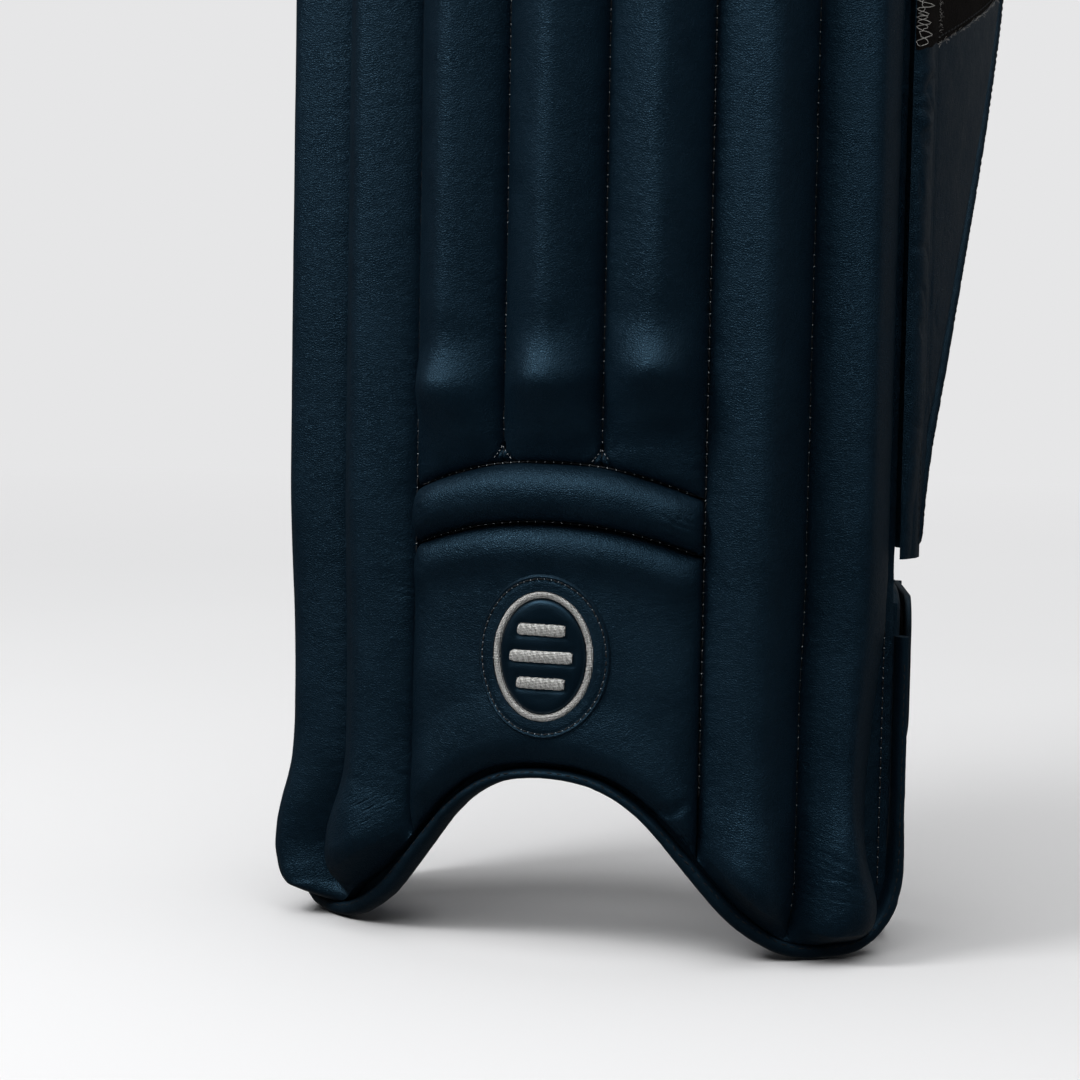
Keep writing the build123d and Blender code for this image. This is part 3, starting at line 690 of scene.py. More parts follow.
def seam_cols(rolls, n=35):
    """Fractions 0..rolls over several rolls, with each one's own -1..1 position."""
    f, u = [], []
    for k in range(rolls):
        q = ease_u(n)
        q = q if k == 0 else q[1:]
        f.append(k + (q + 1) / 2)
        u.append(q)
    f = np.concatenate(f)
    return f, np.concatenate(u)


def z_rows(length, step, fine, fine_len):
    """0..length, with closer rows over the first and the last stretch."""
    a = np.arange(0, fine_len, fine)
    b = np.arange(fine_len, length - fine_len, step)
    c = length - a[::-1]
    return np.concatenate([a, b, c])


def spot(s, z, s0, z0, rs, rz):
    return np.exp(-(((s - s0) / rs) ** 2 + ((z - z0) / rz) ** 2))


def roll_relief(u, z, w, H, e, seed):
    """Height of a roll over its seams, with the dive into the stitching and small folds."""
    a = np.abs(u)
    ds = (1 - a) * w
    h = H * tent(u, e) + 0.85 * np.sin(np.pi * np.clip(a, 0, 1)) * np.clip(H / 14.0, 0, 1)
    h = h - 2.3 * np.exp(-ds / 1.5)
    x = u * w
    h = h + 0.20 * fbm(x / 34.0 + seed, z / 60.0, 2, seed)
    pk = np.exp(-ds / 3.6)
    h = h + 0.26 * pk * vn(z / 2.9 + seed * 3.1, x / 14.0, seed + 5) + 0.14 * pk * vn(z / 1.6, x / 5.0, seed + 7)
    h = h + 0.30 * np.exp(-ds / 7.0) * vn(z / 11.0, x / 20.0 + seed, seed + 9)
    return h


def folds(s, z, s0, z0, rs, rz, angle, pitch, depth, seed):
    """A cluster of short folds running at an angle, fading out from its centre."""
    m = spot(s, z, s0, z0, rs, rz)
    c, q = math.cos(math.radians(angle)), math.sin(math.radians(angle))
    a = (s - s0) * c + (z - z0) * q
    b = -(s - s0) * q + (z - z0) * c
    w = b / pitch + 0.55 * vn(a / 6.0, b / 9.0, seed)
    k = 1 - np.abs(vn(a / 26.0 + 3.0, w, seed + 1)) * 2.6
    return -depth * m * np.clip(k, 0, 1) ** 1.5


TOE_LINE = shift_line(ARCH, RIM - 2.0) + [(104, 6.0), (110, 6.2), (116, 6.8)]
ARCH_LINE = [shift_line(ARCH, d)[i] for i, d in enumerate((4.0, 4.1, 4.4, 5.0, 5.6, 6.0, 6.0, 6.0, 6.0, 6.0, 6.0))]


def toe_outline(x):
    """Lowest line of the side rolls in the front view, up to the outer corner."""
    return z_of(TOE_LINE, x)


R_IN = 166.2


def side_rolls(tag, sg):
    f, u = seam_cols(2, 47)
    F = f / 2.0
    U = u
    vz = np.concatenate([np.linspace(0, 0.30, 240, endpoint=False), np.linspace(0.30, 0.97, 250, endpoint=False),
                         np.linspace(0.97, 1.0, 24)])
    th_b = 20.4 + ((43.6 if sg > 0 else 41.4) - 20.4) * F
    zb = toe_outline(170 * np.sin(np.radians(th_b)))
    # the tops drop towards the sides so the knee can bend back over them
    top = Z_TOP - 0.2 - np.maximum(0, -165.5 * np.cos(np.radians(20.4 + 27.2 * F)) + 150) * math.tan(math.radians(7.5))
    Z = zb[:, None] + (top - zb)[:, None] * vz[None, :]
    rise = Z - zb[:, None]
    k = np.clip(rise / (34.0 if sg > 0 else 27.0), 0, 1)
    k = np.sqrt(np.clip(1 - (1 - k) ** 2, 0, 1))
    th_t = 20.4 + (47.6 - 0.9 * (1 - smooth(Z, 96, 150)) - 20.4) * F[:, None]
    TH = th_b[:, None] + (th_t - th_b[:, None]) * k
    if sg < 0:
        TH = TH + 3.0 * (np.sin(np.pi * F) ** 1.5)[:, None] * (1 - smooth(Z, 22, 74)) * smooth(Z, 2, 16)
    else:
        # the outermost roll is sewn in short of the edge and waists above the toe
        pinch = 4.4 * smooth(Z, 8, 40) + 5.0 * smooth(Z, 18, 48) * (1 - smooth(Z, 56, 130))
        TH = TH - np.degrees(pinch / 170.0) * smooth(F, 0.52, 1.0)[:, None]
    UU = np.broadcast_to(U[:, None], Z.shape)
    inner = np.broadcast_to((F < 0.5)[:, None], Z.shape)       # the roll next to the panel
    zr = Z
    squeeze = smooth(zr, 46, 84) * (1 - smooth(zr, 120, 185))
    toe = 1 - smooth(zr, 30, 66)
    H = 14.3 - 2.3 * squeeze + np.where(inner, 3.0, 3.6) * toe
    H = H * dome(rise + 0.2, 15.0 if sg > 0 else 14.0) * (0.30 + 0.70 * dome(top[:, None] - zr + 0.3, 8.0))
    e = 0.135 + 0.50 * toe + 0.05 * squeeze
    seed = 11 if sg > 0 else 29
    S = 170 * np.radians(TH)
    rel = roll_relief(UU, zr, 20.5, H, e, seed + 3) * np.clip(rise / 6.0, 0, 1) ** 0.5
    # folds where the stuffing is forced round the toe and past the panel
    if sg > 0:
        rel = rel + folds(S, zr, 106, 38, 11, 15, -28, 1.35, 0.55, 5) + folds(S, zr, 113, 30, 9, 9, -8, 1.3, 0.35, 6)
        rel = rel + folds(S, zr, 63, 60, 5, 16, 24, 1.6, 0.5, 3) + folds(S, zr, 78, 45, 8, 8, -10, 1.5, 0.25, 4)
        rel = rel + folds(S, zr, 134, 56, 5, 26, 35, 1.7, 0.5, 7) + folds(S, zr, 63, 150, 4, 20, 30, 1.6, 0.4, 9)
        rel = rel + folds(S, zr, 99, 250, 4, 120, 24, 1.8, 0.25, 13)
    else:
        rel = rel + folds(S, zr, 72, 52, 13, 15, 24, 1.35, 0.60, 4) + folds(S, zr, 64, 60, 6, 24, 38, 1.5, 0.55, 6)
        rel = rel + folds(S, zr, 64, 146, 7, 22, 20, 1.5, 0.60, 8) + folds(S, zr, 134, 56, 5, 26, 35, 1.7, 0.5, 10)
        rel = rel + folds(S, zr, 99, 250, 4, 120, 24, 1.8, 0.25, 14)
    rel = rel + 1.2 * toe * fbm(S / 14.0, zr / 16.0, 2, seed + 40) * dome(rise, 17)
    R = R_SEAM + rel
    # the outermost seam is pulled back to the side wall
    R = R - 1.2 * np.exp(-(1 - F)[:, None] * 41.0 / 1.2)
    outer = cyl(TH, R, Z)
    inn = cyl(TH, np.full_like(Z, R_IN), Z)
    if sg < 0:
        outer, inn = outer * np.array([-1, 1, 1.0]), inn * np.array([-1, 1, 1.0])
        outer, inn = outer[::-1], inn[::-1]
    su, sv = arc(outer, 0), arc(outer, 1)
    ob = shell(f"{tag}_side_rolls", outer, inn, M_LEATHER, uv=np.stack([su, sv], -1), body="shin", slot="leather_navy",
               replaces=(f"{tag}_side_roll_cover", f"{tag}_side_roll_foam"), fill=0.85)
    return ob, outer, f if sg > 0 else (2 - f)[::-1]


def outer_strip():
    """Flat stitched leather between the outermost roll and the bound edge."""
    z, th = np.linspace(21.0, 453.4, 260), np.linspace(41.6, 47.75, 11)
    TH = np.broadcast_to(th[:, None], (len(th), len(z)))
    Z = np.broadcast_to(z[None, :], TH.shape)
    S = 170 * np.radians(TH)
    R = 168.0 + 0.30 * vn(Z / 3.4, S / 6.0, 881) + 0.30 * fbm(Z / 30.0, S / 12.0, 2, 883) - 0.5 * np.exp(-((TH - 46.4) / 0.35) ** 2)
    shell("outer_edge_strip", cyl(TH, R, Z), cyl(TH, np.full_like(Z, 166.3), Z), M_LEATHER, uv=np.stack([S, Z], -1),
          body="shin", slot="leather_navy")
    zz = np.linspace(26.0, 450.0, 240)
    p = cyl(np.full_like(zz, 46.4), 168.15, zz)
    n = cyl(46.4, 1.0, 0.0) * np.array([1, 1, 0.0])
    seam_row("outer_edge_strip", p, np.repeat(n[None, :], len(zz), 0) if n.ndim == 1 else n, 2.8, 4.0, 0.6, speck=0.6, seed=885)


def centre_rolls():
    f, u = seam_cols(3, 37)
    TH1 = -20.4 + 40.8 * f / 3.0
    zb = z_of(BAND_HIGH, 170 * np.sin(np.radians(TH1))) + 0.5
    vz = z_rows(1.0, 1 / 240.0, 1 / 520.0, 0.30)
    Z = zb[:, None] + (Z_TOP - zb)[:, None] * vz[None, :]
    d = Z - zb[:, None]
    TH = np.broadcast_to(TH1[:, None], Z.shape)
    U = np.broadcast_to(u[:, None], Z.shape)
    k = np.broadcast_to(np.minimum(np.floor(f * 0.99999), 2)[:, None], Z.shape)
    end = 236.0 + np.where(k == 1, -2.0, np.where(k == 2, 2.5, -7.0))     # where each rod stops
    t = Z - end
    H = 4.6 + (14.0 - 4.6) * smooth(t, -38, -8)
    H = H + 4.2 * np.exp(-((t + 6.0) / 8.0) ** 2) - 1.2 * np.exp(-((t - 13) / 9.0) ** 2)
    H = H * dome(d + 0.1, 13.0) * (0.30 + 0.70 * dome(Z_TOP - Z + 0.3, 8.0))
    e = 0.135 + 0.62 * (1 - smooth(t, -26, 4)) + 0.16 * np.exp(-((t - 0.0) / 9.0) ** 2)
    rel = roll_relief(U, Z, 20.5, H, e, 53)
    S = 170 * np.radians(TH)
    low = (1 - smooth(d, 16, 46))
    rel = rel + low * 0.7 * fbm(S / 16.0, Z / 13.0, 2, 61)
    for s0, an, q in ((-24, 125, 1), (-16, 55, 2), (16, 125, 3), (24, 55, 4), (-57, 70, 5), (57, 110, 6)):
        rel = rel + folds(S, Z, s0, 201, 5, 10, an, 1.6, 0.55, 70 + q)
    for s0 in (-20.2, 20.2):
        for sd in (-1, 1):
            lx = s0 + sd * 4.6 * np.clip(1 - d / 7.0, 0, 1) ** 1.4
            rel = rel - 1.5 * np.exp(-((S - lx) / 0.9) ** 2) * (1 - smooth(d, 5, 10))
        rel = rel + 1.5 * np.exp(-((S - s0) / 2.2) ** 2) * (1 - smooth(d, 2.5, 6.5)) * smooth(d, 0.3, 2)
        rel = rel + 0.5 * vn(S / 0.9, Z / 2.4, 77) * np.exp(-((S - s0) / 5.0) ** 2) * (1 - smooth(d, 4, 9))
    R = R_SEAM + rel - 1.4 * np.exp(-d / 1.6)
    outer = cyl(TH, R, Z)
    inn = cyl(TH, np.full_like(Z, R_IN), Z)
    su, sv = arc(outer, 0), arc(outer, 1)
    ob = shell("centre_rolls", outer, inn, M_LEATHER, uv=np.stack([su, sv], -1), body="shin", slot="leather_navy",
               replaces=("centre_roll_cover", "centre_roll_foam"), fill=0.85)
    return ob, outer, f


def front_patch_grid(low, high, half, nth, nz, lo_fn, hi_fn):
    th = np.linspace(-half, half, nth)
    x = 170 * np.sin(np.radians(th))
    a, b = lo_fn(x), hi_fn(x)
    v = np.linspace(0, 1, nz)
    v = 0.5 - 0.5 * np.cos(np.pi * v) * (1 - 0.25 * (1 - np.abs(2 * v - 1)))
    Z = a[:, None] + (b - a)[:, None] * v[None, :]
    TH = np.broadcast_to(th[:, None], Z.shape)
    return TH, Z, a, b


def band():
    TH, Z, a, b = front_patch_grid(None, None, EB, 150, 46,
                                   lambda x: z_of(BAND_LOW, x) + 0.3, lambda x: z_of(BAND_HIGH, x) - 0.3)
    v = (Z - a[:, None]) / (b - a)[:, None]
    S = 170 * np.radians(TH)
    de = (EB - np.abs(TH)) * np.pi / 180 * 170
    full = np.clip(1 - np.abs(2 * v - 1) ** 2.3, 0, 1) ** 0.62
    rel = 11.2 * full * (0.08 + 0.92 * dome(de, 15.0))
    rel = rel + 0.30 * fbm(S / 22.0, Z / 14.0, 2, 81) * full
    dz = np.minimum(Z - a[:, None], b[:, None] - Z)
    rel = rel + 0.22 * np.exp(-dz / 2.6) * vn(S / 2.7, Z / 8.0, 83)
    for s0, z0, an, dp, q in ((51, 176, -25, 0.6, 1), (56, 170, 40, 0.6, 2), (-54, 174, 25, 0.5, 3)):
        rel = rel + folds(S, Z, s0, z0, 7, 8, an, 1.5, dp, 90 + q)
    R = 171.4 + rel - 1.3 * np.exp(-dz / 1.1) - 1.8 * np.exp(-de / 1.4)
    outer = cyl(TH, R, Z)
    inn = cyl(TH, np.full_like(Z, R_IN), Z)
    shell("instep_band", outer, inn, M_LEATHER, uv=np.stack([arc(outer, 0), arc(outer, 1)], -1), body="shin",
          slot="leather_navy", replaces=("instep_band_cover", "instep_band_foam"), fill=0.8)
    return outer


def panel_r(S, Z, a, b, TH):
    """Radius of the instep panel's face."""
    de = (EB - np.abs(TH)) * np.pi / 180 * 170
    top, bot = b - Z, Z - a
    edge = np.minimum(np.minimum(de * 1.0, top), bot)
    rel = 5.6 * dome(np.maximum(top, 0), 7.0) * dome(np.maximum(bot, 0), 10.0) * (0.06 + 0.94 * dome(de, 13.0))
    rel = rel + 2.6 * np.exp(-((top - 10.5) / 7.5) ** 2) * dome(np.maximum(top, 0), 6.0) * dome(de, 14.0)
    rel = rel + 1.1 * smooth(np.abs(S), 24, 44) * smooth(top, 30, 60) * dome(de, 12.0)
    rel = rel + 1.6 * smooth(bot, 2, 12) * (1 - smooth(bot, 14, 34)) * dome(de, 12.0)
    rel = rel + 0.45 * fbm(S / 26.0, Z / 24.0, 2, 101) * dome(edge, 8.0)
    rel = rel + 0.20 * np.exp(-np.minimum(top, de) / 2.6) * vn((S + Z) / 2.7, Z / 9.0, 103)
    for s0, z0, rs, rz, an, dp, pt, q in ((50, 60, 8, 5, 14, 1.5, 3.0, 1), (54, 49, 6, 8, 28, 1.0, 1.6, 2),
                                          (-52, 58, 7, 12, -14, 0.45, 1.4, 3), (-55, 142, 4, 16, -20, 0.4, 1.5, 4),
                                          (55, 146, 4, 14, 20, 0.4, 1.5, 5)):
        rel = rel + folds(S, Z, s0, z0, rs, rz, an, pt, dp, 110 + q)
    return 171.6 + rel - 1.6 * np.exp(-np.maximum(top, 0) / 1.2) - 1.8 * np.exp(-de / 1.3)


def arch_low(x):
    return z_of(ARCH_LINE, x)


def panel():
    TH, Z, a, b = front_patch_grid(None, None, EB, 150, 170, arch_low, lambda x: z_of(BAND_LOW, x) - 0.3)
    S = 170 * np.radians(TH)
    R = panel_r(S, Z, a[:, None], b[:, None], TH)
    outer = cyl(TH, R, Z)
    inn = cyl(TH, np.full_like(Z, R_IN), Z)
    shell("instep_panel", outer, inn, M_LEATHER, uv=np.stack([arc(outer, 0), arc(outer, 1)], -1), body="shin",
          slot="leather_navy", replaces=("instep_panel_cover", "instep_panel_foam"), fill=0.7)
    return outer


def on_panel(x, z):
    """Point on the panel's face at a place in the front view, and the way it faces."""
    x, z = np.broadcast_arrays(np.asarray(x, float), np.asarray(z, float))
    def at(x, z):
        th = np.degrees(np.arcsin(x / 177.0))
        S = 170 * np.radians(th)
        a, b = arch_low(170 * np.sin(np.radians(th))), z_of(BAND_LOW, 170 * np.sin(np.radians(th))) - 0.3
        return cyl(th, panel_r(S, z, a, b, th), z)
    p = at(x, z)
    n = np.cross(at(x + 0.8, z) - at(x - 0.8, z), at(x, z + 0.8) - at(x, z - 0.8))
    n /= np.linalg.norm(n, axis=-1, keepdims=True)
    return p, n


BZ, BA, BB = 119.0, 20.5, 25.5


def satin(P, flip):
    """Closed flat stitches from points laid out as stitch, along, across."""
    n, s, c = P.shape[:3]
    F = []
    for i in range(n):
        o = i * s * c
        q = []
        for r in range(s - 1):
            for j in range(c - 1):
                a = o + r * c + j
                q.append((a, a + c, a + c + 1, a + 1))
        e = o + (s - 1) * c
        q.append(tuple(o + j for j in range(c)))
        q.append(tuple(e + j for j in range(c))[::-1])
        q.append(tuple(o + r * c for r in range(s))[::-1])
        q.append(tuple(o + r * c + c - 1 for r in range(s)))
        q.append((o, o + c - 1, e + c - 1, e)[::-1])
        F += [x[::-1] for x in q] if flip else q
    return P.reshape(-1, 3), F


def patch():
    # padded leather oval inside the ring
    nr, na = 26, 96
    rr = np.linspace(0.0, 1.0, nr) ** 0.8
    aa = np.linspace(0, 2 * np.pi, na, endpoint=False)
    V, F = [], []
    A, B = BA - 2.9, BB - 2.9
    rows_top, rows_low = [], []
    for k, q in enumerate(rr[1:]):
        x, z = A * q * np.cos(aa), BZ + B * q * np.sin(aa)
        p, n = on_panel(x, z)
        d = (1 - q) * 18.0
        lift = 0.25 + 2.0 * dome(d, 4.0) + 0.25 * fbm(x / 9.0, z / 9.0, 2, 131)
        for _, dz, hw in ((0, 10.5, 9.5), (0, 0.0, 12.5), (0, -10.5, 9.5)):
            near = np.maximum(np.abs(x) - hw, 0) ** 2 + np.maximum(np.abs(z - BZ - dz) - 2.3, 0) ** 2
            lift = lift - 0.55 * np.exp(-near / 1.4)
        rows_top.append(p + n * lift[:, None])
        rows_low.append(p - n * 0.4)
    c, n = on_panel(0.0, BZ)
    V = [c + n * 2.2] + [v for r in rows_top for v in r]
    m = len(V)
    V += [c - n * 0.4] + [v for r in rows_low for v in r]
    for off, flip in ((0, False), (m, True)):
        for j in range(na):
            t = (off, off + 1 + j, off + 1 + (j + 1) % na)
            F.append(t[::-1] if flip else t)
        for i in range(nr - 2):
            for j in range(na):
                p0, p1 = off + 1 + i * na + j, off + 1 + i * na + (j + 1) % na
                q = (p0, p0 + na, p1 + na, p1)
                F.append(q[::-1] if flip else q)
    o = 1 + (nr - 2) * na
    for j in range(na):
        a, b = o + j, o + (j + 1) % na
        F.append((a, m + a, m + b, b))
    make("patch_pad_leather", V, F, M_BADGE, body="shin", slot="leather_navy", replaces=("patch_pad",), fill=0.7)
    # satin stitched ring
    rng = np.random.default_rng(5)
    n_st = 236
    t = np.linspace(0, 2 * np.pi, n_st, endpoint=False)[:, None, None]
    k = np.linspace(0, 1, 7)[None, :, None]
    m2 = np.array([-1.0, -0.45, 0.45, 1.0])[None, None, :]
    da = 0.5 * (2 * np.pi / n_st) * 0.98
    ang = t + 0.024 * k + da * m2 * (1.0 - 0.15 * np.abs(2 * k - 1))
    A = BA - 2.7 + 2.8 * k + rng.normal(0, 0.07, (n_st, 1, 1))
    B = BB - 2.7 + 2.8 * k
    p, n = on_panel(A * np.cos(ang), BZ + B * np.sin(ang))
    h = 0.15 + 1.2 * np.sqrt(np.clip(1 - (2 * k - 1) ** 2, 0, 1)) + np.where(np.abs(m2) == 1, 0.0, 0.24) + rng.normal(0, 0.05, (n_st, 1, 1))
    v, f = satin(p + n * h[..., None], False)
    make("patch_ring_stitches", v, f, M_SILVER, body="shin", slot="silver_trim", replaces=("patch_ring",), sharp=None)
    # three satin bars
    parts = []
    for dz, hw in ((10.5, 9.5), (0.0, 12.5), (-10.5, 9.5)):
        nb = int(2 * hw / 0.62)
        x0 = (-hw + (np.arange(nb) + 0.5) * 2 * hw / nb)[:, None, None]
        ex = np.minimum(1.0, (hw - np.abs(x0)) / 1.8 + 0.25)
        hh = 2.3 * np.sqrt(np.clip(1 - (1 - ex) ** 2, 0.05, 1)) + rng.normal(0, 0.05, (nb, 1, 1))
        k = np.linspace(-1, 1, 11)[None, :, None]
        xx = x0 + m2 * hw / nb * 0.98 + 0.20 * k
        p, n = on_panel(xx + 0 * hh, BZ + dz + hh * k + 0 * m2)
        h = 2.05 + 1.10 * np.clip(1 - k * k, 0, 1) ** 0.4 + np.where(np.abs(m2) == 1, 0.0, 0.17)
        h = h + 0.12 * np.sin(k * 10.0 + np.arange(nb)[:, None, None] * 1.57)
        parts.append(satin(p + n * h[..., None], True))
    v, f = merge(parts)
    make("patch_bar_stitches", v, f, M_SILVER, body="shin", slot="silver_trim", replaces=("patch_bars",), sharp=None)
    # leather oval around the ring, sewn to the panel
    parts = []
    nr, na = 10, 120
    aa = np.linspace(0, 2 * np.pi, na, endpoint=False)
    V, F = [], []
    ks = np.linspace(0, 1, nr)
    for side in (1, 0):
        for k in ks:
            A, B = BA + 0.2 + (27.0 - BA) * k, BB + 0.2 + (32.0 - BB) * k
            p, n = on_panel(A * np.cos(aa), BZ + B * np.sin(aa))
            out = (1 - k) * 7.0
            gro = -0.55 * np.exp(-((k - 0.70) / 0.10) ** 2)
            lift = (0.15 + 0.85 * dome(np.full(na, out), 1.0) + gro) if side else np.full(na, -0.5)
            V += list(p + n * lift[:, None])
    for side in (0, 1):
        o = side * nr * na
        for i in range(nr - 1):
            for j in range(na):
                p0, p1 = o + i * na + j, o + i * na + (j + 1) % na
                q = (p0, p0 + na, p1 + na, p1)
                F.append(q if side == 0 else q[::-1])
    o = nr * na
    for j in range(na):
        a, b = j, (j + 1) % na
        F.append((b, a, o + a, o + b)[::-1])
        a, b = (nr - 1) * na + j, (nr - 1) * na + (j + 1) % na
        F.append((a, b, o + b, o + a)[::-1])
    make("patch_sewn_oval", V, F, M_LEATHER, body="shin", slot="leather_navy")
    A, B = BA + 5.0, BB + 5.0
    aa = np.linspace(0, 2 * np.pi, 400)
    p, n = on_panel(A * np.cos(aa), BZ + B * np.sin(aa))
    seam_row("patch_outline", p + n * 0.50, n, 2.2, 2.9, 0.62, lift=0.0, speck=0.25, seed=17)


def seam_row(name, path, normal, length=3.1, step=4.3, width=0.62, lift=0.0, speck=1.0, seed=1, body="shin",
             mat=None, speck_mat=None):
    """Stitches along a seam, and the paler ends of thread that show at the needle holes."""
    v, f = beads(path, normal, length, width, width * 0.75, step, lift=lift, seed=seed)
    make(f"{name}_stitches", v, f, mat or M_SEAM, body=body, slot="binding_navy", sharp=None)
    if speck:
        s = np.concatenate([[0], np.cumsum(np.linalg.norm(np.diff(path, axis=0), axis=1))])
        p2 = np.stack([np.interp(s + step / 2, s, path[:, k]) for k in range(3)], -1)
        v, f = beads(p2[s < s[-1] - step], normal if np.ndim(normal) == 1 else normal[s < s[-1] - step],
                     0.75 * max(speck, 0.6), 0.42, 0.34, step, lift=lift - 0.05, jitter=0.5, seed=seed + 1)
        make(f"{name}_specks", v, f, speck_mat or M_SPECK, body=body, slot="silver_trim", sharp=None)


def rim_path():
    low = [shift_line(ARCH, d)[i] for i, d in enumerate((-0.3, -0.3, -0.2, 0.1, 0.6, 1.0, 1.4, 2.0, 2.6, 3.0, 3.3))]
    half = low + [(105, 3.4), (112.5, 4.3), (119.0, 8.6), (123.9, 16.6), (126.6, 28), (127.7, 42), (128.1, 60), (128.1, 84),
                  (128.1, 106), (128.0, 127)]
    full = [(-x, z) for x, z in half[:0:-1]] + half
    c = catmull(full, 14)
    c, t = resample(c, 1.25)
    x, z = c[:, 0], c[:, 1]
    up = smooth(z, 22, 60) * (np.abs(x) > 118)
    R = 168.7 * (1 - up) + 170.3 * up
    y = -np.sqrt(np.maximum(R * R - x * x, 1))
    # the path, how far each point turns up the side, and the length along it
    return np.stack([x, y, z], -1), up, t


def foot_rim():
    p, up, t = rim_path()
    rad = p * np.array([1, 1, 0.0])
    rad /= np.linalg.norm(rad, axis=1, keepdims=True)
    near = smooth(np.abs(p[:, 0]), 24, 84)
    a = (2.1 + 1.2 * near) * (1 - up) + 2.2 * up          # within the front view, across the edge
    b = 5.3 * (1 - up) + 3.7 * up          # through the thickness
    seg = 20
    ph = np.linspace(0, 2 * np.pi, seg, endpoint=False)
    wob = 1 + 0.035 * fbm(t[:, None] / 9.0, np.cos(ph)[None] * 1.3, 2, 141) + \
        0.030 * vn(t[:, None] / 2.4, np.sin(ph)[None] * 2.0 + 5, 143)
    v, f = sweep(p, a, b, rad, seg=seg, power=0.78, wob=wob)
    make("foot_rim_binding", v, f, M_BIND, body="shin", slot="binding_navy", replaces=("foot_rim",))
    # turned-in hem that closes the joint between the edge and the panel
    up_s = frames(p, rad)[1]
    up_s = up_s * (1 if up_s[len(up_s) // 2, 2] > 0 else -1)
    keep = up < 0.02
    k0, k1 = np.argmax(keep), len(keep) - np.argmax(keep[::-1])
    q = np.linspace(0.6, 8.4, 8)
    G = []
    for off in q:
        c = p + up_s * off
        r = np.hypot(c[:, 0], c[:, 1])
        G.append(c)
    G = np.array(G).transpose(1, 0, 2)[k0:k1]
    rr = np.hypot(G[..., 0], G[..., 1])
    def at(R):
        y = -np.sqrt(np.maximum(R * R - G[..., 0] ** 2, 1.0))
        return np.stack([G[..., 0], y, G[..., 2]], -1)
    shell("foot_rim_hem", at(167.0), at(166.7), M_BIND, body="shin", slot="binding_navy")
    tt, ss, uu = frames(p, rad)
    q = p + uu * (b * 0.93)[:, None] + ss * 0.0
    sgn = -np.sign((ss * np.array([0, 0, 1.0])).sum(1) + 1e-9)
    keep = slice(6, len(q) - 6)
    inner = ss * np.where((ss[:, 2] > 0) | ((np.abs(ss[:, 2]) < 0.3)), 1, -1)[:, None]
    # stitches run near the rim's inner edge, on its front
    side = np.where((uu[:, :1] * 0 + ss[:, 2:3]) >= 0, 1.0, -1.0)
    e = p + uu * (b * 0.90)[:, None] + ss * (a * 0.40)[:, None] * (1 if ss[len(ss) // 2, 2] > 0 else -1)
    seam_row("foot_rim", e[keep], uu[keep], 2.6, 3.7, 0.55, lift=0.12, speck=0.0, seed=151)


def seam_on(outer, f, at, keep=(0.004, 0.99)):
    """Path and outward normals along the valley nearest a roll fraction."""
    k = int(np.argmin(np.abs(f - at)))
    p = outer[k]
    n = normals(outer)
    a = n[max(k - 3, 0)] + n[min(k + 3, len(f) - 1)]
    a /= np.linalg.norm(a, axis=1, keepdims=True)
    j0, j1 = int(len(p) * keep[0]), int(len(p) * keep[1])
    return p[j0:j1], a[j0:j1]


def front_pieces():
    for tag, sg in (("inner", -1), ("outer", 1)):
        ob, o, f = side_rolls(tag, sg)
        p, n = seam_on(o, f, 1.0, (0.03, 0.99))
        seam_row(f"{tag}_roll_seam", p + n * 0.15, n, 3.3, 4.5, 0.62, speck=0.8, seed=201 + sg)
        # the seam to the panel and centre rolls, sewn in the same valley
        k = 0 if sg > 0 else -1
        p = cyl(20.4 * sg, 171.5, np.linspace(64, 455, 330))
        seam_row(f"{tag}_panel_seam", p, cyl(20.4 * sg, 1.0, 0.0) * np.array([1, 1, 0.0]), 3.3, 4.5, 0.62, speck=0.8,
                 seed=211 + sg)
    ob, o, f = centre_rolls()
    for at in (1.0, 2.0):
        p, n = seam_on(o, f, at, (0.01, 0.99))
        seam_row(f"centre_seam_{int(at)}", p + n * 0.15, n, 3.3, 4.5, 0.62, speck=0.9, seed=int(220 + at))
    for sc in (-6.8, 6.8):
        x0 = 170 * math.sin(math.radians(sc))
        zb = float(z_of(BAND_HIGH, x0)) + 0.5
        for sd in (-1, 1):
            q = np.linspace(0, 1, 14)
            th = sc + sd * np.degrees(4.8 / 170) * q ** 1.3
            pth = cyl(th, 172.1, zb + 6.5 * (1 - q) + 0.4)
            seam_row(f"gather_{'l' if sc < 0 else 'r'}_{'a' if sd < 0 else 'b'}", pth, cyl(sc, 1.0, 0.0) * np.array([1, 1, 0.0]),
                     0.9, 1.7, 0.26, speck=0, seed=225, mat=M_SPECK)
    outer_strip()
    b = band()
    th = np.linspace(-19.6, 19.6, 260)
    x = 170 * np.sin(np.radians(th))
    rad = cyl(th, 1.0, 0.0) * np.array([1, 1, 0.0])
    seam_row("band_top_seam", cyl(th, 171.7, z_of(BAND_HIGH, x) + 0.1), rad, 2.7, 3.6, 0.6, speck=0.8, seed=231)
    seam_row("band_low_seam", cyl(th, 171.9, z_of(BAND_LOW, x) + 0.1), rad, 2.7, 3.6, 0.6, speck=0.5, seed=233)
    panel()
    patch()
    foot_rim()


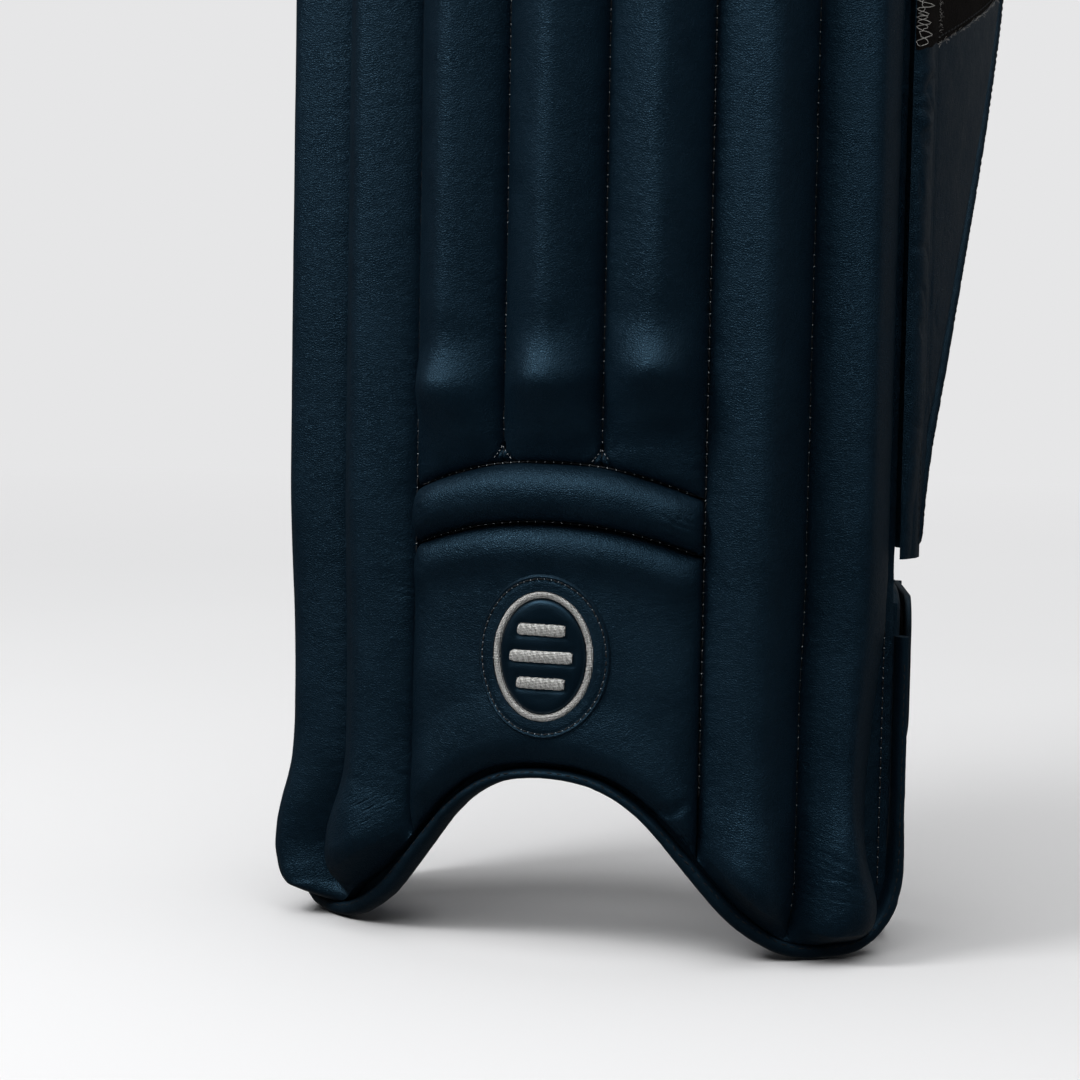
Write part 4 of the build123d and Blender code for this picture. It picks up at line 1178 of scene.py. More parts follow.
# ------------------------------------------------------------ shapes on a surface
def slab(name, fn, S, Z, n0, n1, mat, ns=40, nz=36, rc=(0, 0), crown=0.0, relief=None, edge=1.2, sg=1, **kw):
    """Flat piece lying on a curved face: fn(s, n, z) gives points; its corners may be rounded."""
    s = np.linspace(0, 1, ns)
    s = 0.5 - 0.5 * np.cos(np.pi * s) * (1 - 0.35 * (1 - np.abs(2 * s - 1)))
    z = np.linspace(0, 1, nz)
    z = 0.5 - 0.5 * np.cos(np.pi * z) * (1 - 0.35 * (1 - np.abs(2 * z - 1)))
    zz = Z[0] + (Z[1] - Z[0]) * z
    dz = np.minimum(zz - Z[0], Z[1] - zz)
    lo = np.full(nz, float(S[0]))
    hi = np.full(nz, float(S[1]))
    for k, (lim, sign) in enumerate(((lo, 1), (hi, -1))):
        r = rc[k]
        if r:
            q = np.clip(r - dz, 0, r)
            lim += sign * (r - np.sqrt(np.clip(r * r - q * q, 0, None))) * 0.96
    A = lo[None, :] + (hi - lo)[None, :] * s[:, None]
    B = np.broadcast_to(zz[None, :], A.shape)
    d = np.minimum(np.minimum(A - lo, hi - A), np.minimum(B - Z[0], Z[1] - B))
    th = n1 - n0
    ro = dome(d + 0.05, edge)
    o = n0 + th * (0.45 + 0.55 * ro) + crown * dome(d, 14.0)
    if relief is not None:
        o = o + relief(A, B, d)
    i = n0 + th * 0.45 * (1 - ro)
    P, Q = fn(A, o, B), fn(A, i, B)
    if sg < 0:
        P, Q = (P * np.array([-1, 1, 1.0]))[::-1], (Q * np.array([-1, 1, 1.0]))[::-1]
    uv = np.stack([A, B], -1)
    if sg < 0:
        uv = uv[::-1]
    return shell(name, P, Q, mat, uv=uv, **kw)


G0, G1 = (127.6, -110.4), (108.5, -48.5)
GL = math.hypot(G1[0] - G0[0], G1[1] - G0[1])
GD = ((G1[0] - G0[0]) / GL, (G1[1] - G0[1]) / GL)
GN = (GD[1], -GD[0])


def on_gusset(t, n, z):
    t, n, z = np.broadcast_arrays(np.asarray(t, float), n, z)
    return np.stack([G0[0] + GD[0] * t + GN[0] * n, G0[1] + GD[1] * t + GN[1] * n, z], -1)


def on_wing(y, n, z):
    """Point on the wing's curve, n outside its face."""
    a = np.arcsin((np.asarray(y, float) - WC[1]) / WR)
    a, n, z = np.broadcast_arrays(a, n, z)
    return np.stack([WC[0] + (WR + n) * np.cos(a), WC[1] + (WR + n) * np.sin(a), z], -1)


def on_arc(c, r):
    def f(th, n, z):
        th, n, z = np.broadcast_arrays(np.radians(np.asarray(th, float)), n, z)
        return np.stack([c[0] + (r + n) * np.sin(th), c[1] - (r + n) * np.cos(th), z], -1)
    return f


def mirror(p, sg):
    return np.asarray(p) * np.array([1.0 if sg > 0 else -1.0, 1, 1])


def line_on(fn, pts, step=1.5, sg=1, lift=0.0):
    """Path and normals along points (s, z) on a face."""
    p, _ = resample(np.array(pts, float), step)
    a = fn(p[:, 0], lift, p[:, 1])
    b = fn(p[:, 0], lift + 1.0, p[:, 1])
    return mirror(a, sg), mirror(b - a, sg)


# ----------------------------------------------------------------- foot gussets
def gussets():
    for tag, sg in (("inner", -1), ("outer", 1)):
        t = np.linspace(5.6, GL - 0.1, 52)
        y = G0[1] + GD[1] * t
        lo = np.interp(y, [-105, -100, -94, -86, -78, -62, -52, -48], [33, 20, 10, 4, 3, 9, 26, 37])
        lo = np.convolve(np.pad(lo, 4, mode="edge"), np.ones(9) / 9, "valid")
        hi = np.interp(y, [-120, -104, -98, -90, -40], [130, 140, 144, 145.6, 145.6])
        v = np.linspace(0, 1, 96)
        Z = lo[:, None] + (hi - lo)[:, None] * v[None, :]
        T = np.broadcast_to(t[:, None], Z.shape)
        d = np.minimum(np.minimum(T - t[0], t[-1] - T), np.minimum(Z - lo[:, None], hi[:, None] - Z))
        plain = 1 - smooth(Z, 74, 84)
        o = -1.7 + 1.6 * dome(d, 5.0) + plain * (1.9 * dome(d, 16.0) + 0.5 * fbm(T / 16.0, Z / 18.0, 2, 301))
        o = o + 0.25 * np.exp(-d / 3.0) * vn((T + Z) / 2.8, Z / 9.0, 303) - 0.9 * np.exp(-np.abs(d - 4.0) / 0.8) * plain
        o = np.minimum(o, np.where(Z > 83, 0.0, 9.0))
        P = on_gusset(T, o, Z)
        Q = on_gusset(T, np.full_like(T, -4.0), Z)
        if sg < 0:
            P, Q = mirror(P, -1)[::-1], mirror(Q, -1)[::-1]
        shell(f"{tag}_gusset_pad", P, Q, M_LEATHER, uv=np.stack([T, Z], -1), inner_mat=M_MESH, body="shin",
              slot="leather_navy", replaces=(f"{tag}_gusset",), fill=0.6)
        tt = np.linspace(t[0] + 4, 60.5, 26)
        a, n = line_on(on_gusset, [(t[0] + 4, 74)] + list(zip(tt, np.interp(tt, t, lo) + 5.0)) + [(60.5, 74)], sg=sg, lift=-0.55)
        seam_row(f"{tag}_gusset_edge", a, n, 2.6, 3.6, 0.6, speck=0.6, seed=311 + sg)


def relief_pile(seed, amp=0.22):
    def f(A, B, d):
        return amp * vn(A / 1.1, B / 1.1, seed) * np.clip(d, 0, 1)
    return f


def fibres(name, P, N, length, mat, seed, body, thick=0.09, lean=0.6, slot="loop_charcoal"):
    """Loose fibre ends standing off a surface."""
    rng = np.random.default_rng(seed)
    V, F = [], []
    for p, n in zip(P, N):
        n = n / np.linalg.norm(n)
        a = np.cross(n, [0, 0, 1.0])
        a = a / max(np.linalg.norm(a), 1e-6)
        b = np.cross(n, a)
        d = n + a * rng.normal(0, lean) + b * rng.normal(0, lean)
        d /= np.linalg.norm(d)
        L = length * rng.uniform(0.5, 1.2)
        bend = (a * rng.normal(0, 0.5) + b * rng.normal(0, 0.5)) * L * 0.5
        o = len(V)
        for k, w in ((0, 1.0), (0.5, 0.8), (1.0, 0.35)):
            c = p + d * L * k + bend * k * k
            u = np.cross(d, [0.3, 0.2, 1.0])
            u /= np.linalg.norm(u)
            w2 = np.cross(d, u)
            for j in range(3):
                t = 2.0944 * j
                V.append(c + (u * math.cos(t) + w2 * math.sin(t)) * thick * w)
        for r in range(2):
            for j in range(3):
                p0, p1 = o + r * 3 + j, o + r * 3 + (j + 1) % 3
                F.append((p0, p1, p1 + 3, p0 + 3))
        F.append((o + 2, o + 1, o))
        F.append((o + 6, o + 7, o + 8))
    make(name, np.array(V), F, mat, body=body, slot=slot, sharp=None)


# --------------------------------------------------------------------- bolsters
def bolster_rows(sg, nz=150, na=72):
    z0, z1 = 46.0, 440.0
    zz = z0 + (z1 - z0) * z_rows(1.0, 1 / (nz * 1.0), 1 / (nz * 3.0), 0.05)
    ph = np.linspace(0, 2 * np.pi, na, endpoint=False)
    rows = []
    for z in zz:
        u = min(max((z - 120.0) / 200.0, 0), 1)
        e = min(z - z0, z1 - z)
        k = 0.30 + 0.70 * float(dome(e + 0.05, 26.0))
        c = np.array([80 + 4 * u, -116.5 + 12.5 * u])
        a, b = (38 + 12 * u) * k, (17 + 2 * u) * (0.25 + 0.75 * float(dome(e + 0.05, 20.0)))
        co, si = np.cos(ph), np.sin(ph)
        co, si = np.sign(co) * np.abs(co) ** 0.88, np.sign(si) * np.abs(si) ** 0.88
        r55 = math.radians(55)
        x = c[0] + a * co * math.cos(r55) - b * si * math.sin(r55)
        y = c[1] + a * co * math.sin(r55) + b * si * math.cos(r55)
        sv = np.arange(na) / na
        # stuffing is lumpy, and the two long seams draw it in
        lump = 0.9 * fbm(np.sin(ph) * 1.6 + 3, z / 34.0 + np.cos(ph) * 0.7, 2, 401)
        fold = -1.1 * crease(np.cos(ph) * 1.5 + z / 70.0, z / 15.0, 403) * (0.35 + 0.65 * np.exp(-e / 34.0))
        seam = -1.5 * (np.exp(-np.abs(np.sin(ph)) * a / 2.2))
        puck = 0.35 * np.exp(-np.abs(np.sin(ph)) * a / 6.0) * vn(np.full(na, z / 3.2), np.cos(ph) * 2, 405)
        dr = (lump + fold + seam + puck) * float(dome(e + 0.5, 14.0))
        nx, ny = x - c[0], y - c[1]
        q = np.maximum(np.hypot(nx, ny), 1e-6)
        x, y = x + nx / q * dr, y + ny / q * dr
        r = np.hypot(x, y)
        lim = 158.9
        kk = np.minimum(1.0, lim / np.maximum(r, 1e-6))
        rows.append(np.stack([x * kk, y * kk, np.full(na, z)], -1))
    return np.array(rows)


def bolsters():
    for tag, sg in (("inner", -1), ("outer", 1)):
        R = bolster_rows(sg)
        n, m = R.shape[:2]
        V = mirror(R.reshape(-1, 3), sg)
        F = []
        for i in range(n - 1):
            for j in range(m):
                q = (i * m + j, i * m + (j + 1) % m, (i + 1) * m + (j + 1) % m, (i + 1) * m + j)
                F.append(q if sg > 0 else q[::-1])
        V = np.concatenate([V, [V[:m].mean(0) - [0, 0, 0.5], V[-m:].mean(0) + [0, 0, 0.5]]])
        for j in range(m):
            a = (n * m, (j + 1) % m, j)
            b = (n * m + 1, (n - 1) * m + j, (n - 1) * m + (j + 1) % m)
            F += [a, b] if sg > 0 else [a[::-1], b[::-1]]
        per = np.concatenate([[0], np.cumsum(np.linalg.norm(np.diff(R[n // 2], axis=0), axis=1))])
        uv = np.stack(np.broadcast_arrays(per[None, :], R[:, :, 2]), -1).reshape(-1, 2)
        uv = np.concatenate([uv, [[0, 45], [0, 441]]])
        ob = make(f"{tag}_bolster_cushion", V, F, M_MESH_OBJ, uv=uv, body="shin", slot="mesh_black",
                  replaces=(f"{tag}_bolster_cover", f"{tag}_bolster_foam"), fill=0.8, sharp=None)
        for k, j in ((0, 0), (1, m // 2)):
            p = mirror(R[8:-8, j], sg)
            c = mirror(R[8:-8].mean(1), sg)
            nn = p - c
            nn /= np.linalg.norm(nn, axis=1, keepdims=True)
            v, f = sweep(p - nn * 0.1, 0.8, 0.8, nn, seg=8)
            make(f"{tag}_bolster_welt_{k}", v, f, M_STRAP, uv=None, body="shin", slot="mesh_black", sharp=None)


# ------------------------------------------------------------ liner and knee cups
def liner(name, half, zlo, zhi, puff, mat, replaces, body, seed, r0=161.75, r1=160.3, channels=(), wedge=None, fill=0.3):
    th = np.linspace(-half, half, 140)
    x = 161 * np.sin(np.radians(th))
    a, b = zlo(th, x), zhi(th, x)
    v = np.linspace(0, 1, 150)
    Z = a[:, None] + (b - a)[:, None] * v[None, :]
    TH = np.broadcast_to(th[:, None], Z.shape)
    S = 161 * np.radians(TH)
    d = np.minimum(np.minimum((half - np.abs(TH)) * 2.8, Z - a[:, None]), b[:, None] - Z)
    inn = r1 - puff(TH, Z, d) * dome(d, 6.0) + 0.25 * np.exp(-d / 3) * vn(S / 2.9, Z / 2.9, seed)
    for c in channels:
        inn = inn + 1.0 * np.exp(-np.abs(S - c) / 1.6) * (r1 - inn + 0.4)
    P = cyl(TH, np.full_like(Z, r0), Z)
    Q = cyl(TH, inn, Z)
    return shell(name, P, Q, mat, uv=np.stack([S, Z], -1), body=body, slot="liner_blue", replaces=replaces, fill=fill)


def wedge_up(th, z, r=164.0):
    return z + np.maximum(0, -r * np.cos(np.radians(th)) + 150) * math.tan(math.radians(7.5))


def wedge_dn(th, z, r=164.0):
    return z - np.maximum(0, -r * np.cos(np.radians(th)) + 150) * math.tan(math.radians(7.5))


def liners():
    def puff(TH, Z, d):
        return 4.2 * (1 - smooth(np.abs(TH), 12, 21)) * smooth(Z, 70, 110) + 0.4 * fbm(TH / 9.0, Z / 40.0, 2, 451)
    liner("shin_liner_pad", 46.9, lambda th, x: np.maximum(z_of(TOE_LINE, np.minimum(np.abs(x), 116.0)) + 0.6,
                                                         np.where(np.abs(x) > 116, 12.0, 0.0)),
          lambda th, x: wedge_dn(th, 457.6), puff, M_LINER, ("shin_liner",), "shin", 461)

    def puff2(TH, Z, d):
        return 3.2 * dome(d, 30.0) * (1 - 0.35 * smooth(np.abs(TH), 20, 46)) + 0.4 * fbm(TH / 9.0, Z / 30.0, 2, 463)
    liner("top_hat_liner_pad", 46.9, lambda th, x: wedge_up(th, 600.6),
          lambda th, x: hat_line(np.minimum(np.abs(x), 119.4), RIM + 0.6) - np.where(np.abs(x) > 117, 6, 0.0),
          puff2, M_LINER, ("top_hat_liner",), "top_hat", 465)


def hat_line(x, d):
    pts = HAT_TOP
    sh = []
    for i, p in enumerate(pts):
        a, b = pts[max(i - 1, 0)], pts[min(i + 1, len(pts) - 1)]
        tx, tz = b[0] - a[0], b[1] - a[1]
        n = math.hypot(tx, tz)
        if i == 0:
            tx, tz, n = 1.0, 0.0, 1.0
        sh.append((p[0] + d * tz / n, p[1] - d * tx / n))
    return z_of(sh, x)


def knee():
    names = ["lower", "middle", "upper"]
    for i, nm in enumerate(names):
        zb = 462.0 + 46 * i
        zt = zb + 44.0
        body = f"knee_{nm}"
        th = 46.0 * np.sin(np.linspace(-1, 1, 170) * np.pi / 2) * 0.35 + 46.0 * 0.65 * np.linspace(-1, 1, 170)
        v = 0.5 - 0.5 * np.cos(np.pi * np.linspace(0, 1, 44))
        a, b = wedge_up(th, zb, 165.5) + 0.25, wedge_dn(th, zt, 165.5) - 0.25
        Z = a[:, None] + (b - a)[:, None] * v[None, :]
        V = np.broadcast_to(v[None, :], Z.shape)
        TH = np.broadcast_to(th[:, None], Z.shape)
        S = 175 * np.radians(TH)
        de = (46.0 - np.abs(TH)) * np.pi / 180 * 175
        full = np.clip(1 - np.abs(2 * V - 1) ** 2.5, 0, 1) ** 0.58
        rel = 22.2 * full * (0.45 + 0.55 * dome(de, 16.0))
        dz = np.minimum(Z - a[:, None], b[:, None] - Z)
        rel = rel + 0.35 * fbm(S / 30.0, Z / 18.0, 2, 501 + i) * full
        rel = rel + 0.30 * np.exp(-dz / 3.4) * vn(S / 2.9, Z / 9.0, 511 + i) + 0.5 * np.exp(-dz / 8.0) * vn(S / 9.0, Z / 20.0, 515 + i)
        rel = rel + folds(S, Z, 128, zb + 22, 12, 14, 10, 3.2, 1.3, 520 + i) + folds(S, Z, -128, zb + 22, 12, 14, -8, 3.2, 1.3, 525 + i)
        R = 168.4 + rel - 1.6 * np.exp(-dz / 1.2)
        P = cyl(TH, R, Z)
        shell(f"knee_roll_{nm}", P, cyl(TH, np.full_like(Z, 166.1), Z), M_LEATHER, uv=np.stack([S, Z], -1), body=body,
              slot="leather_navy", replaces=(f"knee_roll_{nm}_cover", f"knee_roll_{nm}_foam"), fill=0.9)
        rad = cyl(th, 1.0, 0.0) * np.array([1, 1, 0.0])
        seam_row(f"knee_{nm}_low_seam", cyl(th[3:-3], 168.6, a[3:-3] + 0.5), rad[3:-3], 3.0, 4.5, 0.6, speck=0.6, seed=531 + i, body=body)

        def puff(TH, Z, d):
            return 0.0 * d + 0.25 * fbm(TH / 6.0, Z / 10.0, 2, 541)
        liner(f"knee_backing_{nm}", 45.0, lambda th, x: wedge_up(th, zb + 0.1), lambda th, x: wedge_dn(th, zt - 0.1),
              puff, M_LINER, (f"knee_roll_{nm}_backing",), body, 551 + i, r0=165.9, r1=160.7)
        for sg in (-1, 1):
            t0 = np.linspace(13.2, 39.8, 60)
            a, b = wedge_up(t0, zb + 1.1, 150.0), wedge_dn(t0, zt - 1.1, 150.0)
            v = np.linspace(0, 1, 50)
            Z = a[:, None] + (b - a)[:, None] * v[None, :]
            TH = np.broadcast_to(t0[:, None], Z.shape)
            S = 155 * np.radians(TH)
            d = np.minimum(np.minimum((TH - 13.2) * 2.7, (39.8 - TH) * 2.7), np.minimum(Z - a[:, None], b[:, None] - Z))
            inn = 157.4 - 8.6 * dome(d, 13.0) - 0.3 * fbm(S / 12.0, Z / 12.0, 2, 561) + 0.3 * np.exp(-d / 3) * vn(S / 3.0, Z / 3.0, 563)
            P, Q = cyl(TH, np.full_like(Z, 160.1), Z), cyl(TH, inn, Z)
            uv = np.stack([S, Z], -1)
            if sg < 0:
                P, Q, uv = mirror(P, -1)[::-1], mirror(Q, -1)[::-1], uv[::-1]
            shell(f"knee_cup_{nm}_{'outer' if sg > 0 else 'inner'}", P, Q, M_MESH, uv=uv, body=body, slot="mesh_black",
                  replaces=(f"knee_cup_{nm}_pad",), fill=0.7)
    # gathered fabric that joins one row to the next
    for i in range(4):
        zf = 461.0 + 46 * i
        th = np.linspace(-44.6, 44.6, 150)
        x = np.linspace(-1, 1, 17)
        half = 5.0 + np.maximum(0, -164 * np.cos(np.radians(th)) + 150) * math.tan(math.radians(7.5))
        Z = zf + half[:, None] * x[None, :]
        TH = np.broadcast_to(th[:, None], Z.shape)
        S = 165 * np.radians(TH)
        w = 1 - np.broadcast_to(x[None, :] ** 2, Z.shape)
        ro = 165.2 + w * (0.3 + 0.5 * vn(S / 3.4, Z / 40.0, 571 + i))
        ri = 163.4 - w * (0.2 + 0.4 * vn(S / 3.1, Z / 40.0, 575 + i))
        ob = shell(f"knee_fold_{i + 1}", cyl(TH, ro, Z), cyl(TH, ri, Z), M_BIND, uv=np.stack([S, Z], -1), slot="leather_navy")
        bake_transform(ob)


def top_hat():
    f, u = seam_cols(7, 31)
    F = f / 7.0 * 2 - 1
    th_top, th_low = 44.4 * F, 47.6 * F
    zb = wedge_up(th_low, 600.4, 165.5)
    zt = hat_line(np.minimum(170 * np.sin(np.radians(np.abs(th_top))), 119.3), RIM + 0.6)
    v = z_rows(1.0, 1 / 150.0, 1 / 330.0, 0.12)
    Z = zb[:, None] + (zt - zb)[:, None] * v[None, :]
    d_top = zt[:, None] - Z
    k = np.clip(d_top / 26.0, 0, 1)
    k = np.sqrt(np.clip(1 - (1 - k) ** 2, 0, 1))
    TH = th_top[:, None] + (th_low - th_top)[:, None] * k
    U = np.broadcast_to(u[:, None], Z.shape)
    H = 14.3 * (0.30 + 0.70 * dome(Z - zb[:, None] + 0.3, 8.0)) * dome(d_top + 0.1, 16.0)
    e = 0.15 + 0.35 * (1 - smooth(d_top, 4, 34))
    rel = roll_relief(U, Z, 20.5, H, e, 601)
    rel = rel * np.clip(d_top / 5.0, 0, 1) ** 0.5
    R = R_SEAM + rel - 1.2 * np.exp(-(1 - np.abs(F))[:, None] * 143.0 / 1.2)
    P = cyl(TH, R, Z)
    I = cyl(TH, np.full_like(Z, 166.1), Z)
    shell("top_hat_rolls", P, I, M_LEATHER, uv=np.stack([arc(P, 0), arc(P, 1)], -1), body="top_hat", slot="leather_navy",
          replaces=("top_hat_cover", "top_hat_foam"), fill=0.85)
    for q in range(1, 7):
        p, n = seam_on(P, f, float(q), (0.02, 0.94))
        seam_row(f"hat_seam_{q}", p + n * 0.15, n, 3.3, 4.5, 0.62, speck=0.6, seed=610 + q, body="top_hat")
    # bound edge over the top
    half = [(0, 796.0), (40, 793.1), (76.6, 784.3), (101.4, 769.2), (116.4, 746.4), (124.0, 716.5)]
    full = [(-x, z) for x, z in half[:0:-1]] + half
    c, t = resample(catmull(full, 16), 1.4)
    y = -np.sqrt(165.8 ** 2 - c[:, 0] ** 2)
    p = np.stack([c[:, 0], y, c[:, 1]], -1)
    rad = p * np.array([1, 1, 0.0])
    rad /= np.linalg.norm(rad, axis=1, keepdims=True)
    ph = np.linspace(0, 2 * np.pi, 20, endpoint=False)
    wob = 1 + 0.035 * fbm(t[:, None] / 9.0, np.cos(ph)[None] * 1.3, 2, 641) + 0.03 * vn(t[:, None] / 2.4, np.sin(ph)[None] * 2, 643)
    v, f = sweep(p, 4.0, 6.3, rad, seg=20, power=0.78, wob=wob)
    make("top_hat_binding", v, f, M_BIND, body="top_hat", slot="binding_navy", replaces=("top_hat_rim",))
    inw = p.copy()
    inw[:, 2] -= 1.5
    seam_row("top_hat_edge", inw[4:-4] + rad[4:-4] * 6.1, rad[4:-4], 2.6, 3.7, 0.55, speck=0.0, seed=645, body="top_hat")


# --------------------------------------------------------------- wing and flap
def shift_side(rear, d):
    out = []
    for i, p in enumerate(rear):
        a, b = rear[max(i - 1, 0)], rear[min(i + 1, len(rear) - 1)]
        ty, tz = b[0] - a[0], b[1] - a[1]
        n = math.hypot(ty, tz)
        out.append((p[0] - d * tz / n, p[1] + d * ty / n))
    return out


def y_front(z, d=0.0):
    return np.interp(z, [160, 436, 446, 474], [-107 + d, -107 + d, -95 + d, -92 + d])


def y_rear(rear, z, d=0.0):
    p = catmull(shift_side(rear, d), 10)
    zz = np.maximum.accumulate(p[:, 1])
    return np.interp(z, zz + np.arange(len(zz)) * 1e-6, p[:, 0])


def loop_line(y):
    return 354 + (y + 120) * 43 / 150.0


def side_grid(rear, z_lo, z_hi, ns, nv, d=4.3):
    s = 0.5 - 0.5 * np.cos(np.pi * np.linspace(0, 1, ns)) * 0.5 - 0.25 + 0.5 * np.linspace(0, 1, ns)
    s = (s - s[0]) / (s[-1] - s[0])
    v = np.linspace(0, 1, nv)
    Y = np.broadcast_to(-100 + 110 * s[:, None], (ns, nv)).copy()
    for _ in range(8):
        a = z_lo(Y) if callable(z_lo) else z_lo
        b = z_hi(Y) if callable(z_hi) else z_hi
        Z = np.broadcast_to(a + (b - a) * v[None, :], (ns, nv))
        f, r = y_front(Z, d), y_rear(rear, Z, d)
        r = np.maximum(r, f + 1.0)
        Y = f + (r - f) * s[:, None]
    D = np.minimum(Y - f, r - Y)
    return Y, Z, D


def side_panel(tag, rear, z0, sg, body, loop):
    zt = 469.6
    top = (lambda y: loop_line(y) + 2.0) if loop else zt
    Y, Z, D = side_grid(rear, z0 + 9, top, 96, 170)
    D = np.minimum(D, np.minimum(Z - z0 - 5, (zt - Z) if not loop else 1e3))
    D = np.maximum(D, 0)
    o = -2.6 + 2.6 * np.maximum(dome(D, 9.0), (1 - smooth(Y, -99, -88)) * np.clip((Z - z0 - 4) / 14.0, 0, 1) * 0.97) + 0.40 * fbm(Y / 34.0, Z / 42.0, 2, 701 + sg) * dome(D, 14.0)
    o = o + 0.22 * np.exp(-D / 4.0) * vn((Y + Z) / 5.0, Z / 14.0, 703)
    o = o + folds(Y, Z, -94, 235, 8, 60, 78, 5.0, 0.35, 705)
    o = np.minimum(o, 0.35)
    P, Q = on_wing(Y, o, Z), on_wing(Y, np.full_like(Y, -6.2), Z)
    uv = np.stack([Y, Z], -1)
    if sg < 0:
        P, Q, uv = mirror(P, -1)[::-1], mirror(Q, -1)[::-1], uv[::-1]
    names = ("wing_skin", "wing_foam") if loop else ("flap_skin", "flap_foam")
    shell(f"{tag}_outer_pad", P, Q, M_LEATHER, uv=uv, body=body, slot="leather_navy", replaces=names, fill=0.7)
    if loop:
        Y, Z, D = side_grid(rear, lambda y: loop_line(y), zt, 84, 84, d=4.0)
        D = np.maximum(np.minimum(D, np.minimum(Z - loop_line(Y), zt - Z)), 0)
        o = -0.5 + 0.95 * dome(D, 2.0) + 0.16 * vn(Y / 1.0, Z / 1.0, 711) * np.clip(D, 0, 1) + 0.15 * fbm(Y / 30, Z / 30, 2, 713)
        o = np.minimum(o, 0.62)
        P, Q = on_wing(Y, o, Z), on_wing(Y, np.full_like(Y, -3.0), Z)
        shell(f"{tag}_loop_pile", P, Q, M_LOOP, uv=np.stack([Y, Z], -1), body=body, slot="loop_charcoal",
              replaces=("wing_loop_panel",))
        y = np.linspace(-101, 12, 260)
        a, n = line_on(on_wing, list(zip(y[::8], loop_line(y[::8]) + 3.0)), sg=sg, lift=0.45)
        seam_row(f"{tag}_loop_seam", a, n, 2.6, 3.6, 0.6, speck=0.0, seed=715, body=body)
        rng = np.random.default_rng(717)
        m = 90
        ky = rng.uniform(-103, 8, m)
        kz = loop_line(ky) + np.abs(rng.normal(0, 0.5, m))
        k2 = 110
        ky = np.concatenate([ky, np.full(k2, -99.2) + np.abs(rng.normal(0, 0.7, k2))])
        kz = np.concatenate([kz, rng.uniform(359, 440, k2)])
        base = on_wing(ky, 0.3, kz)
        nn = on_wing(ky, 1.3, kz) - base
        fibres(f"{tag}_loose_fibres", base[::1], nn, 1.7, M_FUZZ, 719, body, thick=0.075, lean=0.9)
        m = 2600
        kz = rng.uniform(362, 466, m)
        f_, r_ = y_front(kz, 5.0), y_rear(rear, kz, 5.0)
        ky = f_ + (r_ - f_) * rng.uniform(0, 1, m)
        ok = (kz > loop_line(ky) + 1)
        ky, kz = ky[ok], kz[ok]
        base = on_wing(ky, 0.05, kz)
        fibres(f"{tag}_pile_loops", base, on_wing(ky, 1.05, kz) - base, 0.62, M_FUZZ_DARK, 721, body, thick=0.07, lean=1.0)
    # mesh lined inside, puffed towards the leg
    Y, Z, D = side_grid(rear, z0 + 9, zt, 90, 170)
    D = np.maximum(np.minimum(D, np.minimum(Z - z0 - 5, zt - Z)), 0)
    i = -10.2 - 2.8 * dome(D, 16.0) - 0.4 * fbm(Y / 24.0, Z / 26.0, 2, 731)
    i = i + 0.3 * np.exp(-D / 4.0) * vn((Y + Z) / 3.4, Z / 12.0, 733)
    P, Q = on_wing(Y, np.full_like(Y, -6.3), Z), on_wing(Y, i, Z)
    uv = np.stack([Y, Z], -1)
    if sg < 0:
        P, Q, uv = mirror(P, -1)[::-1], mirror(Q, -1)[::-1], uv[::-1]
    shell(f"{tag}_mesh_pad", P, Q, M_MESH, uv=uv, body=body, slot="mesh_black",
          replaces=("wing_mesh_lining",) if loop else ("flap_mesh_lining",), fill=0.6)
    # bound edge all round
    d = 2.5
    r = catmull(shift_side(rear, d), 8)
    pts = [(-107 + d, z0 + 3.0)] + [(a, b) for a, b in r if b > z0 + 4 and b < 471.2] + [(3.5, 471.4), (-89.5, 471.4), (-92.6, 447),
                                                                                       (-104.5, 437)]
    c = np.array(pts + [pts[0]], float)
    c, t = resample(c, 1.5)
    c = c[:-1]
    for _ in range(3):
        c = 0.25 * np.roll(c, 1, 0) + 0.5 * c + 0.25 * np.roll(c, -1, 0)
    p = on_wing(c[:, 0], -6.25, c[:, 1])
    n = on_wing(c[:, 0], -5.25, c[:, 1]) - p
    p, n = mirror(p, sg), mirror(n, sg)
    ph = np.linspace(0, 2 * np.pi, 18, endpoint=False)
    tt = np.arange(len(c)) * 1.5
    wob = 1 + 0.03 * vn(tt[:, None] / 3.0, np.cos(ph)[None] * 2, 741)
    v, f = sweep(p, 2.7, 6.85, n, seg=18, power=0.72, wob=wob, closed=True)
    make(f"{tag}_edge_binding", v, f, M_BIND, body=body, slot="binding_navy",
         replaces=("wing_edge_binding",) if loop else ("flap_edge_binding",))
    seam_row(f"{tag}_binding", p + n * 6.75, n, 2.5, 3.6, 0.5, speck=0.0, seed=743 + sg, body=body)


